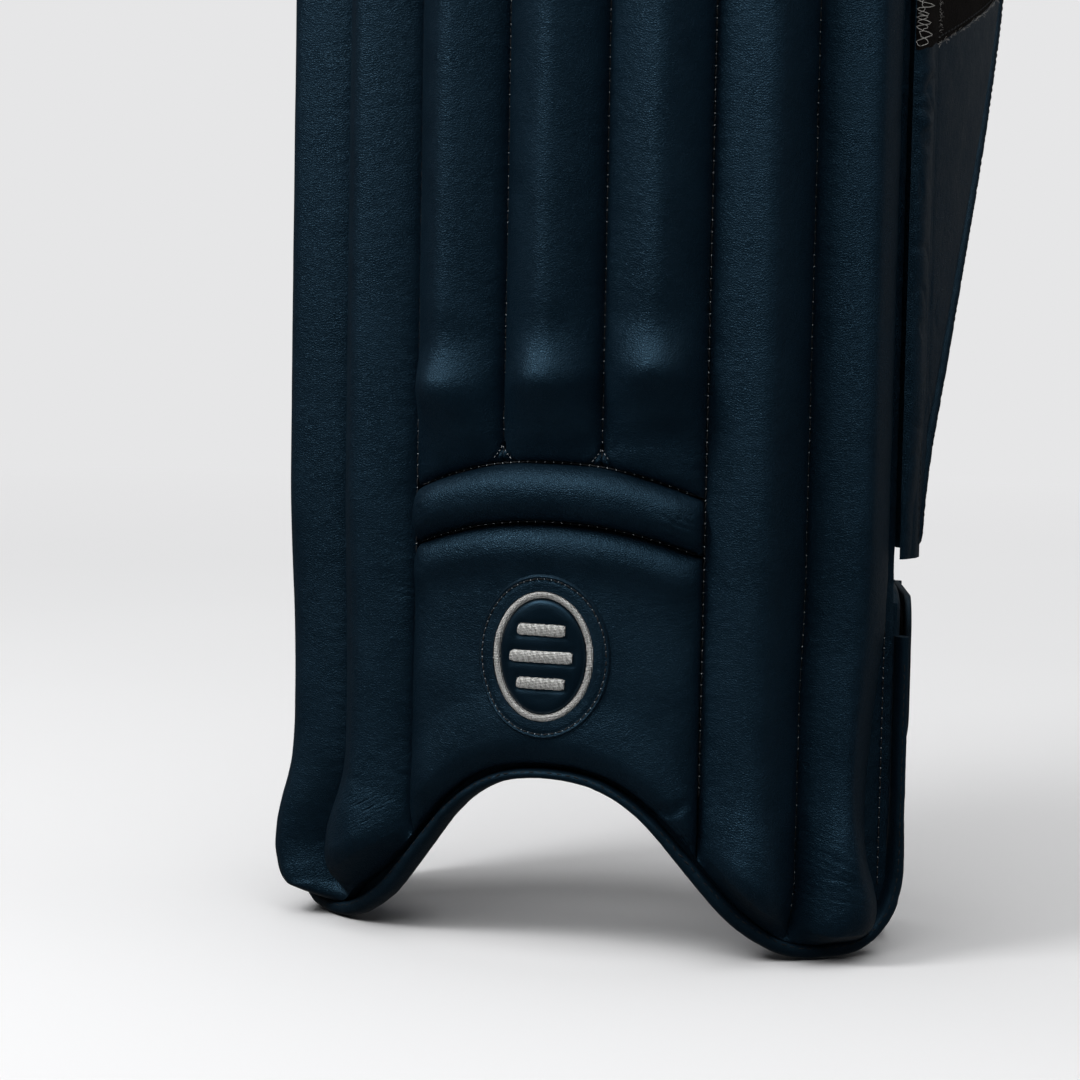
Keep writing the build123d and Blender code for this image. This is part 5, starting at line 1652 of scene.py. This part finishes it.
def hinge_roll(tag, sg, z0, z1, body):
    """Puckered leading roll that sews the side panel to the shin's edge."""
    z = np.arange(z0, z1 + 0.1, 1.5)
    out = catmull([(127.2, -117.3), (130.2, -116.3), (132.2, -113.2), (132.9, -109.0), (132.7, -105.0), (132.4, -101.4)], 5)
    inn = catmull([(127.0, -115.4), (128.6, -114.2), (130.2, -111.6), (131.6, -108.2), (131.8, -104.8), (131.8, -101.6)], 5)
    k = np.linspace(0, 1, len(out))
    e = np.minimum(z - z0, z1 - z)
    body_k = np.sin(np.pi * k) ** 0.7
    P = np.repeat(out[:, None, :], len(z), 1)
    nrm = np.gradient(out, axis=0)
    nrm = np.stack([-nrm[:, 1], nrm[:, 0]], -1)
    nrm /= np.linalg.norm(nrm, axis=1, keepdims=True)
    nrm *= -1 if nrm[len(nrm) // 2, 0] < 0 else 1
    K = k[:, None]
    puck = 0.55 * vn(z[None, :] / 4.2 + K * 0.8, K * 2.2, 761 + sg) + 0.35 * vn(z[None, :] / 1.9, K * 3.0, 763)
    puck = puck * (0.35 + 0.65 * np.abs(2 * K - 1)) + 0.5 * fbm(z[None, :] / 22.0, K * 1.5, 2, 765)
    puck = puck - 1.0 * crease(K * 1.2 + z[None, :] / 60.0, z[None, :] / 17.0, 767)
    gath = np.exp(-((z[None, :] - 338) / 24.0) ** 2)
    puck = puck + gath * 1.1 * vn(z[None, :] / 2.6 - K * 2.6, K * 1.6 + z[None, :] / 40.0, 769)
    disp = puck * body_k[:, None] * 0.8
    shrink = (1 - dome(e + 0.2, 9.0) * (0.45 + 0.55 * smooth(z, z0 + 6, z0 + 90)))[None, :]
    mid = (P + np.repeat(inn[:, None, :], len(z), 1)) / 2
    P = P + nrm[:, None, :] * disp[:, :, None]
    P = P + (mid - P) * (shrink[:, :, None] * 0.75)
    tap = (1 - smooth(z, z0, z0 + 64))[None, :, None] * np.array([-2.6, -1.2])
    P = P + tap * K[:, :, None] ** 0.5
    o = np.concatenate([P, np.broadcast_to(z[None, :, None], P.shape[:2] + (1,))], -1)
    q = np.repeat(inn[:, None, :], len(z), 1)
    i = np.concatenate([q, np.broadcast_to(z[None, :, None], q.shape[:2] + (1,))], -1)
    uv = np.stack([arc(o, 0), arc(o, 1)], -1)
    if sg < 0:
        o, i, uv = mirror(o, -1)[::-1], mirror(i, -1)[::-1], uv[::-1]
    ob = shell(f"{tag}_leading_roll", o, i, M_LEATHER, uv=uv, slot="leather_navy", fill=0.5,
               **({} if body == "calf_wing" else {"body": "shin"}))
    if body == "calf_wing":
        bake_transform(ob)
        # the loop pile turns over the roll above the slanted seam
        top = z >= 356.0
        up = np.concatenate([nrm, np.zeros((len(nrm), 1))], -1)[:, None, :]
        zz, kk = z[None, top] + 0 * K, K + 0 * z[None, top]
        cut = loop_line(-117 + 15.6 * kk) + 1.0
        rise = np.clip((zz - cut) / 1.4, 0, 1) * np.clip((z1 - 3 - zz) / 3.0, 0, 1) * np.clip(kk / 0.10, 0, 1)
        lo = o[:, top] - up * 0.35
        hi = o[:, top] + up * ((0.95 * rise - 0.25) + 0.22 * vn(zz / 0.9, kk * 16, 771) * rise)[..., None]
        ob2 = shell(f"{tag}_loop_turn", hi, lo, M_LOOP, uv=np.stack([kk * 16, zz], -1), slot="loop_charcoal")
        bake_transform(ob2)
        # pale whip thread along its front edge
        rng = np.random.default_rng(773)
        parts = []
        for q, (amp, ph) in enumerate(((0.11, 0.0), (0.09, 2.6))):
            tz = np.arange(358.0, 434.0, 0.55)
            amp = amp * (0.35 + 1.1 * vn(tz / 3.7, tz * 0 + q, 775) ** 2 + 0.8 * (q == 0))
            kq = np.clip(0.17 + amp * np.sin(tz * 2 * np.pi / 4.4 + ph + 1.7 * np.sin(tz / 3.1)) + rng.normal(0, 0.012, len(tz)), 0.03, 0.6)
            idx = kq * (len(out) - 1)
            xy = np.stack([np.interp(idx, np.arange(len(out)), out[:, j]) for j in (0, 1)], -1)
            nn = np.stack([np.interp(idx, np.arange(len(out)), nrm[:, j]) for j in (0, 1)] + [0 * tz], -1)
            pt = np.concatenate([xy, (tz + rng.normal(0, 0.10, len(tz)))[:, None]], -1) + nn * (1.15 + 0.25 * np.sin(tz * 3.1 + q))[:, None]
            parts.append(sweep(pt, 0.13, 0.13, nn, seg=6))
        vv, ff = merge(parts)
        ob3 = make(f"{tag}_whip_thread", vv, ff, M_FUZZ, slot="loop_charcoal", sharp=None)
        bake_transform(ob3)
    return ob


def sides():
    side_panel("wing", WING_REAR, 160.0, 1, "calf_wing", True)
    side_panel("flap", FLAP_REAR, 176.0, -1, "shin", False)
    hinge_roll("wing", 1, 158.0, 438.0, "calf_wing")
    hinge_roll("flap", -1, 174.0, 438.0, "shin")


# ---------------------------------------------------------------------- straps
def strap(tag, c, r, half, gap, anchor, z0, z1, body, names, seed):
    fn = on_arc(c, r)
    a0, a1 = 180 - half + gap, 180 + half
    def rel(A, B, d):
        S = np.radians(A) * r
        return 0.25 * fbm(S / 40.0, B / 26.0, 2, seed) - 0.45 * np.exp(-np.abs(d - 3.0) / 0.7)
    slab(f"{tag}_strap", fn, (a0, a1), (z0 + 4.1, z1 - 4.1), -2.5, 2.35, M_STRAP, ns=170, nz=40, relief=rel, edge=0.8,
         body=body, slot="strap_black", replaces=(f"{tag}_strap_band",), fill=0.2)
    th = np.linspace(a0 + 0.15, a1 - 1.2, 260)
    for k, z in enumerate((z0 + 2.1, z1 - 2.1)):
        p = fn(th, 0.0, z)
        n = fn(th, 1.0, z) - p
        s = np.radians(th) * r
        ph = np.linspace(0, 2 * np.pi, 14, endpoint=False)
        wob = 1 + 0.04 * vn(s[:, None] / 3.0, np.cos(ph)[None] * 2, seed + 5 + k)
        v, f = sweep(p, 2.05, 3.0, n, seg=14, power=0.8, wob=wob)
        make(f"{tag}_strap_piping_{k}", v, f, M_PIPE, body=body, slot="strap_leather",
             replaces=(f"{tag}_strap_piping",), sharp=None)
        rng = np.random.default_rng(seed + 11 + k)
        t2 = rng.uniform(a0 + 0.3, a1 - 1.5, 260)
        zz = z + (1.7 if k else -1.7) + rng.normal(0, 0.25, 260)
        b = fn(t2, 1.6, zz)
        fibres(f"{tag}_strap_frays_{k}", b, fn(t2, 2.6, zz) - b + np.array([0, 0, 0.8 if k else -0.8]), 0.9, M_FUZZ,
               seed + 13 + k, body, thick=0.05, lean=0.7, slot="strap_black")
        for m, off in ((0, 2.62), (1, -2.62)):
            zz = z + (-3.6 if k else 3.6)
            p = fn(th, off * 0.82, zz)
            n = (fn(th, off + np.sign(off), zz) - p)
            seam_row(f"{tag}_strap_{k}_{m}", p, n, 2.6, 3.8, 0.55, speck=0.0, seed=seed + 17 + 2 * k + m, body=body)
    # rolled end at the anchor
    zz = np.linspace(z0 + 4.2, z1 - 4.2, 40)
    p = np.stack([np.full(40, anchor[0]), np.full(40, anchor[1]), zz], -1)
    v, f = sweep(p, 2.5, 2.5, np.tile([0, 1.0, 0], (40, 1)), seg=18)
    make(f"{tag}_strap_roll", v, f, M_PIPE, body=body, slot="strap_leather", sharp=None)


def straps():
    # ankle
    AN = 3.5
    AH = on_gusset(GL + 5.0, AN, 0.0)[:2]
    AA = (-AH[0], AH[1])
    AR = (AH[0] ** 2 + 42.0 ** 2) / 84.0
    AC = (0.0, AH[1] + 42.0 - AR)
    ab = math.degrees(math.asin(AH[0] / AR))
    strap("ankle", AC, AR, ab, math.degrees(3.1 / AR), AA, 82.0, 142.0, "ankle_strap", None, 801)
    slab("ankle_strap_tab_leather", on_gusset, (10, GL + 4.6), (82.2, 141.8), 2.1, 4.95, M_PIPE, ns=60, nz=60, rc=(14, 0),
         relief=lambda A, B, d: -0.4 * np.exp(-np.abs(d - 3.2) / 0.6) + 0.1 * fbm(A / 12, B / 12, 2, 805),
         body="ankle_tab", slot="strap_leather", replaces=("ankle_strap_tab",))
    zz = np.linspace(82.3, 141.7, 44)
    p = np.stack([np.full(44, AH[0]), np.full(44, AH[1]), zz], -1)
    v, f = sweep(p, 2.2, 2.2, np.tile([0, 1.0, 0], (44, 1)), seg=18)
    make("ankle_strap_tab_roll", v, f, M_PIPE, body="ankle_tab", slot="strap_leather", sharp=None)
    slab("ankle_hook_tape", on_gusset, (14, GL - 4), (87, 137), 0.56, 1.95, M_HOOK, ns=60, nz=50, rc=(9, 2),
         relief=relief_pile(807, 0.10), body="ankle_tab", slot="hook_black", replaces=("ankle_strap_hook",))
    slab("ankle_loop_tape", on_gusset, (12, GL - 3), (86, 138), -0.1, 0.40, M_LOOP, ns=64, nz=60, rc=(6, 3),
         relief=relief_pile(809, 0.06), body="shin", slot="loop_charcoal", replaces=("ankle_loop_patch",), edge=0.6)
    pts = [(20, 86), (14, 97), (14, 127), (20, 138), (GL + 1, 138), (GL + 1, 86), (20, 86)]
    a, n = line_on(on_gusset, pts, lift=4.75)
    seam_row("ankle_tab_edge", a, n, 2.6, 3.7, 0.6, speck=0.0, seed=811, body="ankle_tab")
    slab("ankle_anchor_leather", on_gusset, (20, GL + 1.4), (85.1, 138.9), 0.12, 3.05, M_PIPE, ns=56, nz=54, sg=-1, rc=(6, 0),
         relief=lambda A, B, d: -0.35 * np.exp(-np.abs(d - 3.0) / 0.6), body="shin", slot="strap_leather",
         replaces=("ankle_strap_anchor",))
    box = [(24, 89), (24, 135), (GL - 6, 135), (GL - 6, 89), (24, 89), (GL - 6, 135), (GL - 6, 89), (24, 135)]
    a, n = line_on(on_gusset, box, sg=-1, lift=3.0)
    seam_row("ankle_anchor_box", a, n, 2.5, 3.4, 0.6, speck=0.5, seed=813)
    # knee
    HOOK, rk = 1.5, 3.7
    a36 = math.asin((36.0 - WC[1]) / WR)
    KH = (WC[0] + (WR + rk) * math.cos(a36), WC[1] + (WR + rk) * math.sin(a36))
    KA = (-KH[0], KH[1])
    KR = (KH[0] ** 2 + 56.0 ** 2) / 112.0
    KC = (0.0, KH[1] + 56.0 - KR)
    kb = math.degrees(math.asin(KH[0] / KR))
    strap("knee", KC, KR, kb, math.degrees(3.1 / KR), KA, 400.0, 468.0, "knee_strap", None, 831)
    slab("knee_strap_tab_leather", on_wing, (-48, 35.6), (400.2, 467.8), 2.25, 5.15, M_PIPE, ns=80, nz=64, rc=(15, 0),
         relief=lambda A, B, d: -0.4 * np.exp(-np.abs(d - 3.2) / 0.6) + 0.1 * fbm(A / 12, B / 12, 2, 835),
         body="knee_tab", slot="strap_leather", replaces=("knee_strap_tab",))
    zz = np.linspace(400.3, 467.7, 48)
    p = np.stack([np.full(48, KH[0]), np.full(48, KH[1]), zz], -1)
    v, f = sweep(p, 2.2, 2.2, np.tile([0, 1.0, 0], (48, 1)), seg=18)
    make("knee_strap_tab_roll", v, f, M_PIPE, body="knee_tab", slot="strap_leather", sharp=None)
    slab("knee_hook_tape", on_wing, (-43, 11), (405, 463), 0.75, 2.15, M_HOOK, ns=66, nz=56, rc=(9, 2),
         relief=relief_pile(837, 0.10), body="knee_tab", slot="hook_black", replaces=("knee_strap_hook",))
    slab("knee_grip_patch", on_wing, (-44, 2), (408, 460), 5.1, 6.55, M_GRIP, ns=70, nz=60, rc=(10, 4), edge=1.0,
         body="knee_tab", slot="grip_rubber", replaces=("knee_strap_grip_patch",))
    pts = [(-38, 404), (-44, 414), (-44, 454), (-38, 464), (33, 464), (33, 404), (-38, 404)]
    a, n = line_on(on_wing, pts, lift=5.0)
    seam_row("knee_tab_edge", a, n, 2.6, 3.7, 0.6, speck=0.0, seed=841, body="knee_tab")
    slab("knee_anchor_leather", on_wing, (-30, 32.4), (403.1, 464.9), 0.68, 3.6, M_PIPE, ns=64, nz=58, sg=-1, rc=(6, 0),
         relief=lambda A, B, d: -0.35 * np.exp(-np.abs(d - 3.0) / 0.6), body="shin", slot="strap_leather",
         replaces=("knee_strap_anchor",))
    box = [(-26, 407), (-26, 461), (10, 461), (10, 407), (-26, 407), (10, 461), (10, 407), (-26, 461)]
    a, n = line_on(on_wing, box, sg=-1, lift=3.55)
    seam_row("knee_anchor_box", a, n, 2.5, 3.4, 0.6, speck=0.5, seed=843)


def boards():
    for n in ("shin_board", "top_hat_board"):
        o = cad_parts[n]
        o.data.materials.clear()
        o.data.materials.append(M_BOARD)


# ----------------------------------------------------------------- camera, light
def studio():
    cam_d = bpy.data.cameras.new("camera")
    cam = bpy.data.objects.new("camera", cam_d)
    bpy.context.scene.collection.objects.link(cam)
    right, up, fw = (Vector(v) for v in ((0.94532, 0.32562, 0.01865), (-0.04778, 0.08169, 0.99551), (-0.32263, 0.94197, -0.09278)))
    m = Matrix((right, up, -fw)).transposed().to_4x4()
    m.translation = Vector((0.37283, -1.22826, 0.27269))
    cam.matrix_world = m
    cam_d.sensor_width, cam_d.lens = 36.0, 100.0
    cam_d.clip_start, cam_d.clip_end = 0.05, 60.0
    bpy.context.scene.camera = cam

    me = bpy.data.meshes.new("floor")
    s = 14.0
    me.from_pydata([(-s, -s, -0.0004), (s, -s, -0.0004), (s, s, -0.0004), (-s, s, -0.0004)], [], [(0, 1, 2, 3)])
    floor = bpy.data.objects.new("floor", me)
    bpy.context.scene.collection.objects.link(floor)
    floor.visible_glossy = False
    m, nt, b = nodes_of("floor_paper")
    v = coord(nt)
    n1, n2 = noise(nt, v, 1.2, 2.0), noise(nt, v, 90.0, 3.0)
    nt.links.new(ramp(nt, n1, [(0.3, lin(232, 232, 233)), (0.7, lin(236, 236, 237))]), b.inputs["Base Color"])
    nt.links.new(remap(nt, n2, 0.3, 0.7, 0.92, 1.0), b.inputs["Roughness"])
    b.inputs["Specular IOR Level"].default_value = 0.04
    # far from the pad the paper sweeps up into the tone of the wall
    g, ln = nt.nodes.new("ShaderNodeNewGeometry"), nt.nodes.new("ShaderNodeVectorMath")
    ln.operation = "LENGTH"
    nt.links.new(g.outputs["Position"], ln.inputs[0])
    wall, sweep = nt.nodes.new("ShaderNodeEmission"), nt.nodes.new("ShaderNodeMixShader")
    wall.inputs["Color"].default_value = (*lin(230, 230, 231), 1)
    nt.links.new(remap(nt, ln.outputs["Value"], 0.30, 2.6, 0.0, 1.0), sweep.inputs[0])
    nt.links.new(b.outputs[0], sweep.inputs[1])
    nt.links.new(wall.outputs[0], sweep.inputs[2])
    end = next(n for n in nt.nodes if n.type == "OUTPUT_MATERIAL")
    nt.links.new(sweep.outputs[0], end.inputs["Surface"])
    me.materials.append(m)

    def sun(name, az, el, strength, angle, color=(1, 1, 1)):
        L = bpy.data.lights.new(name, "SUN")
        L.energy, L.angle, L.color = strength, math.radians(angle), color
        o = bpy.data.objects.new(name, L)
        bpy.context.scene.collection.objects.link(o)
        a, e = math.radians(az), math.radians(el)
        back = Vector((math.sin(a) * math.cos(e), -math.cos(a) * math.cos(e), math.sin(e)))
        o.rotation_mode = "QUATERNION"
        o.rotation_quaternion = (-back).to_track_quat("-Z", "Y")
        return o
    L = bpy.data.lights.new("key", "AREA")
    L.shape, L.size, L.size_y, L.energy = "RECTANGLE", 0.46, 0.58, KEY_W
    o = bpy.data.objects.new("key", L)
    bpy.context.scene.collection.objects.link(o)
    o.location = Vector(KEY_AT)
    o.rotation_mode = "QUATERNION"
    o.rotation_quaternion = (Vector((0.0, -0.13, 0.40)) - Vector(KEY_AT)).to_track_quat("-Z", "Y")
    o.visible_camera = False
    sun("overhead", -8, 77, TOP, 84)
    sun("kicker", 84, 24, 0.05, 50)
    sun("back_fill", 172, 42, 0.10, 90)

    w = bpy.data.worlds.new("world")
    bpy.context.scene.world = w
    w.use_nodes = True
    nt = w.node_tree
    nt.nodes.clear()
    out = nt.nodes.new("ShaderNodeOutputWorld")
    tc = nt.nodes.new("ShaderNodeTexCoord")
    sep = nt.nodes.new("ShaderNodeSeparateXYZ")
    nt.links.new(tc.outputs["Generated"], sep.inputs[0])
    # the room behind the pad is lit wall; the room in front of it is dim
    t = remap(nt, sep.outputs[1], -0.5, 0.7, 0.0, 1.0)
    col = ramp(nt, t, [(0.0, (WORLD_FRONT,) * 3), (1.0, (WORLD_BACK,) * 3)])
    bg = nt.nodes.new("ShaderNodeBackground")
    nt.links.new(col, bg.inputs[0])
    seen = nt.nodes.new("ShaderNodeBackground")
    seen.inputs[0].default_value = (*lin(230, 230, 231), 1)
    lp = nt.nodes.new("ShaderNodeLightPath")
    mix = nt.nodes.new("ShaderNodeMixShader")
    nt.links.new(lp.outputs["Is Camera Ray"], mix.inputs[0])
    nt.links.new(bg.outputs[0], mix.inputs[1])
    nt.links.new(seen.outputs[0], mix.inputs[2])
    nt.links.new(mix.outputs[0], out.inputs[0])
    bpy.context.scene.view_settings.view_transform = "Standard"
    bpy.context.scene.view_settings.look = "None"


KEY_AT, KEY_W = (-0.68, -0.86, 1.24), 9.8
TOP = 2.55
WORLD_FRONT, WORLD_BACK = 0.006, 0.08
studio()
front_pieces()
gussets()
bolsters()
liners()
knee()
top_hat()
sides()
straps()
boards()
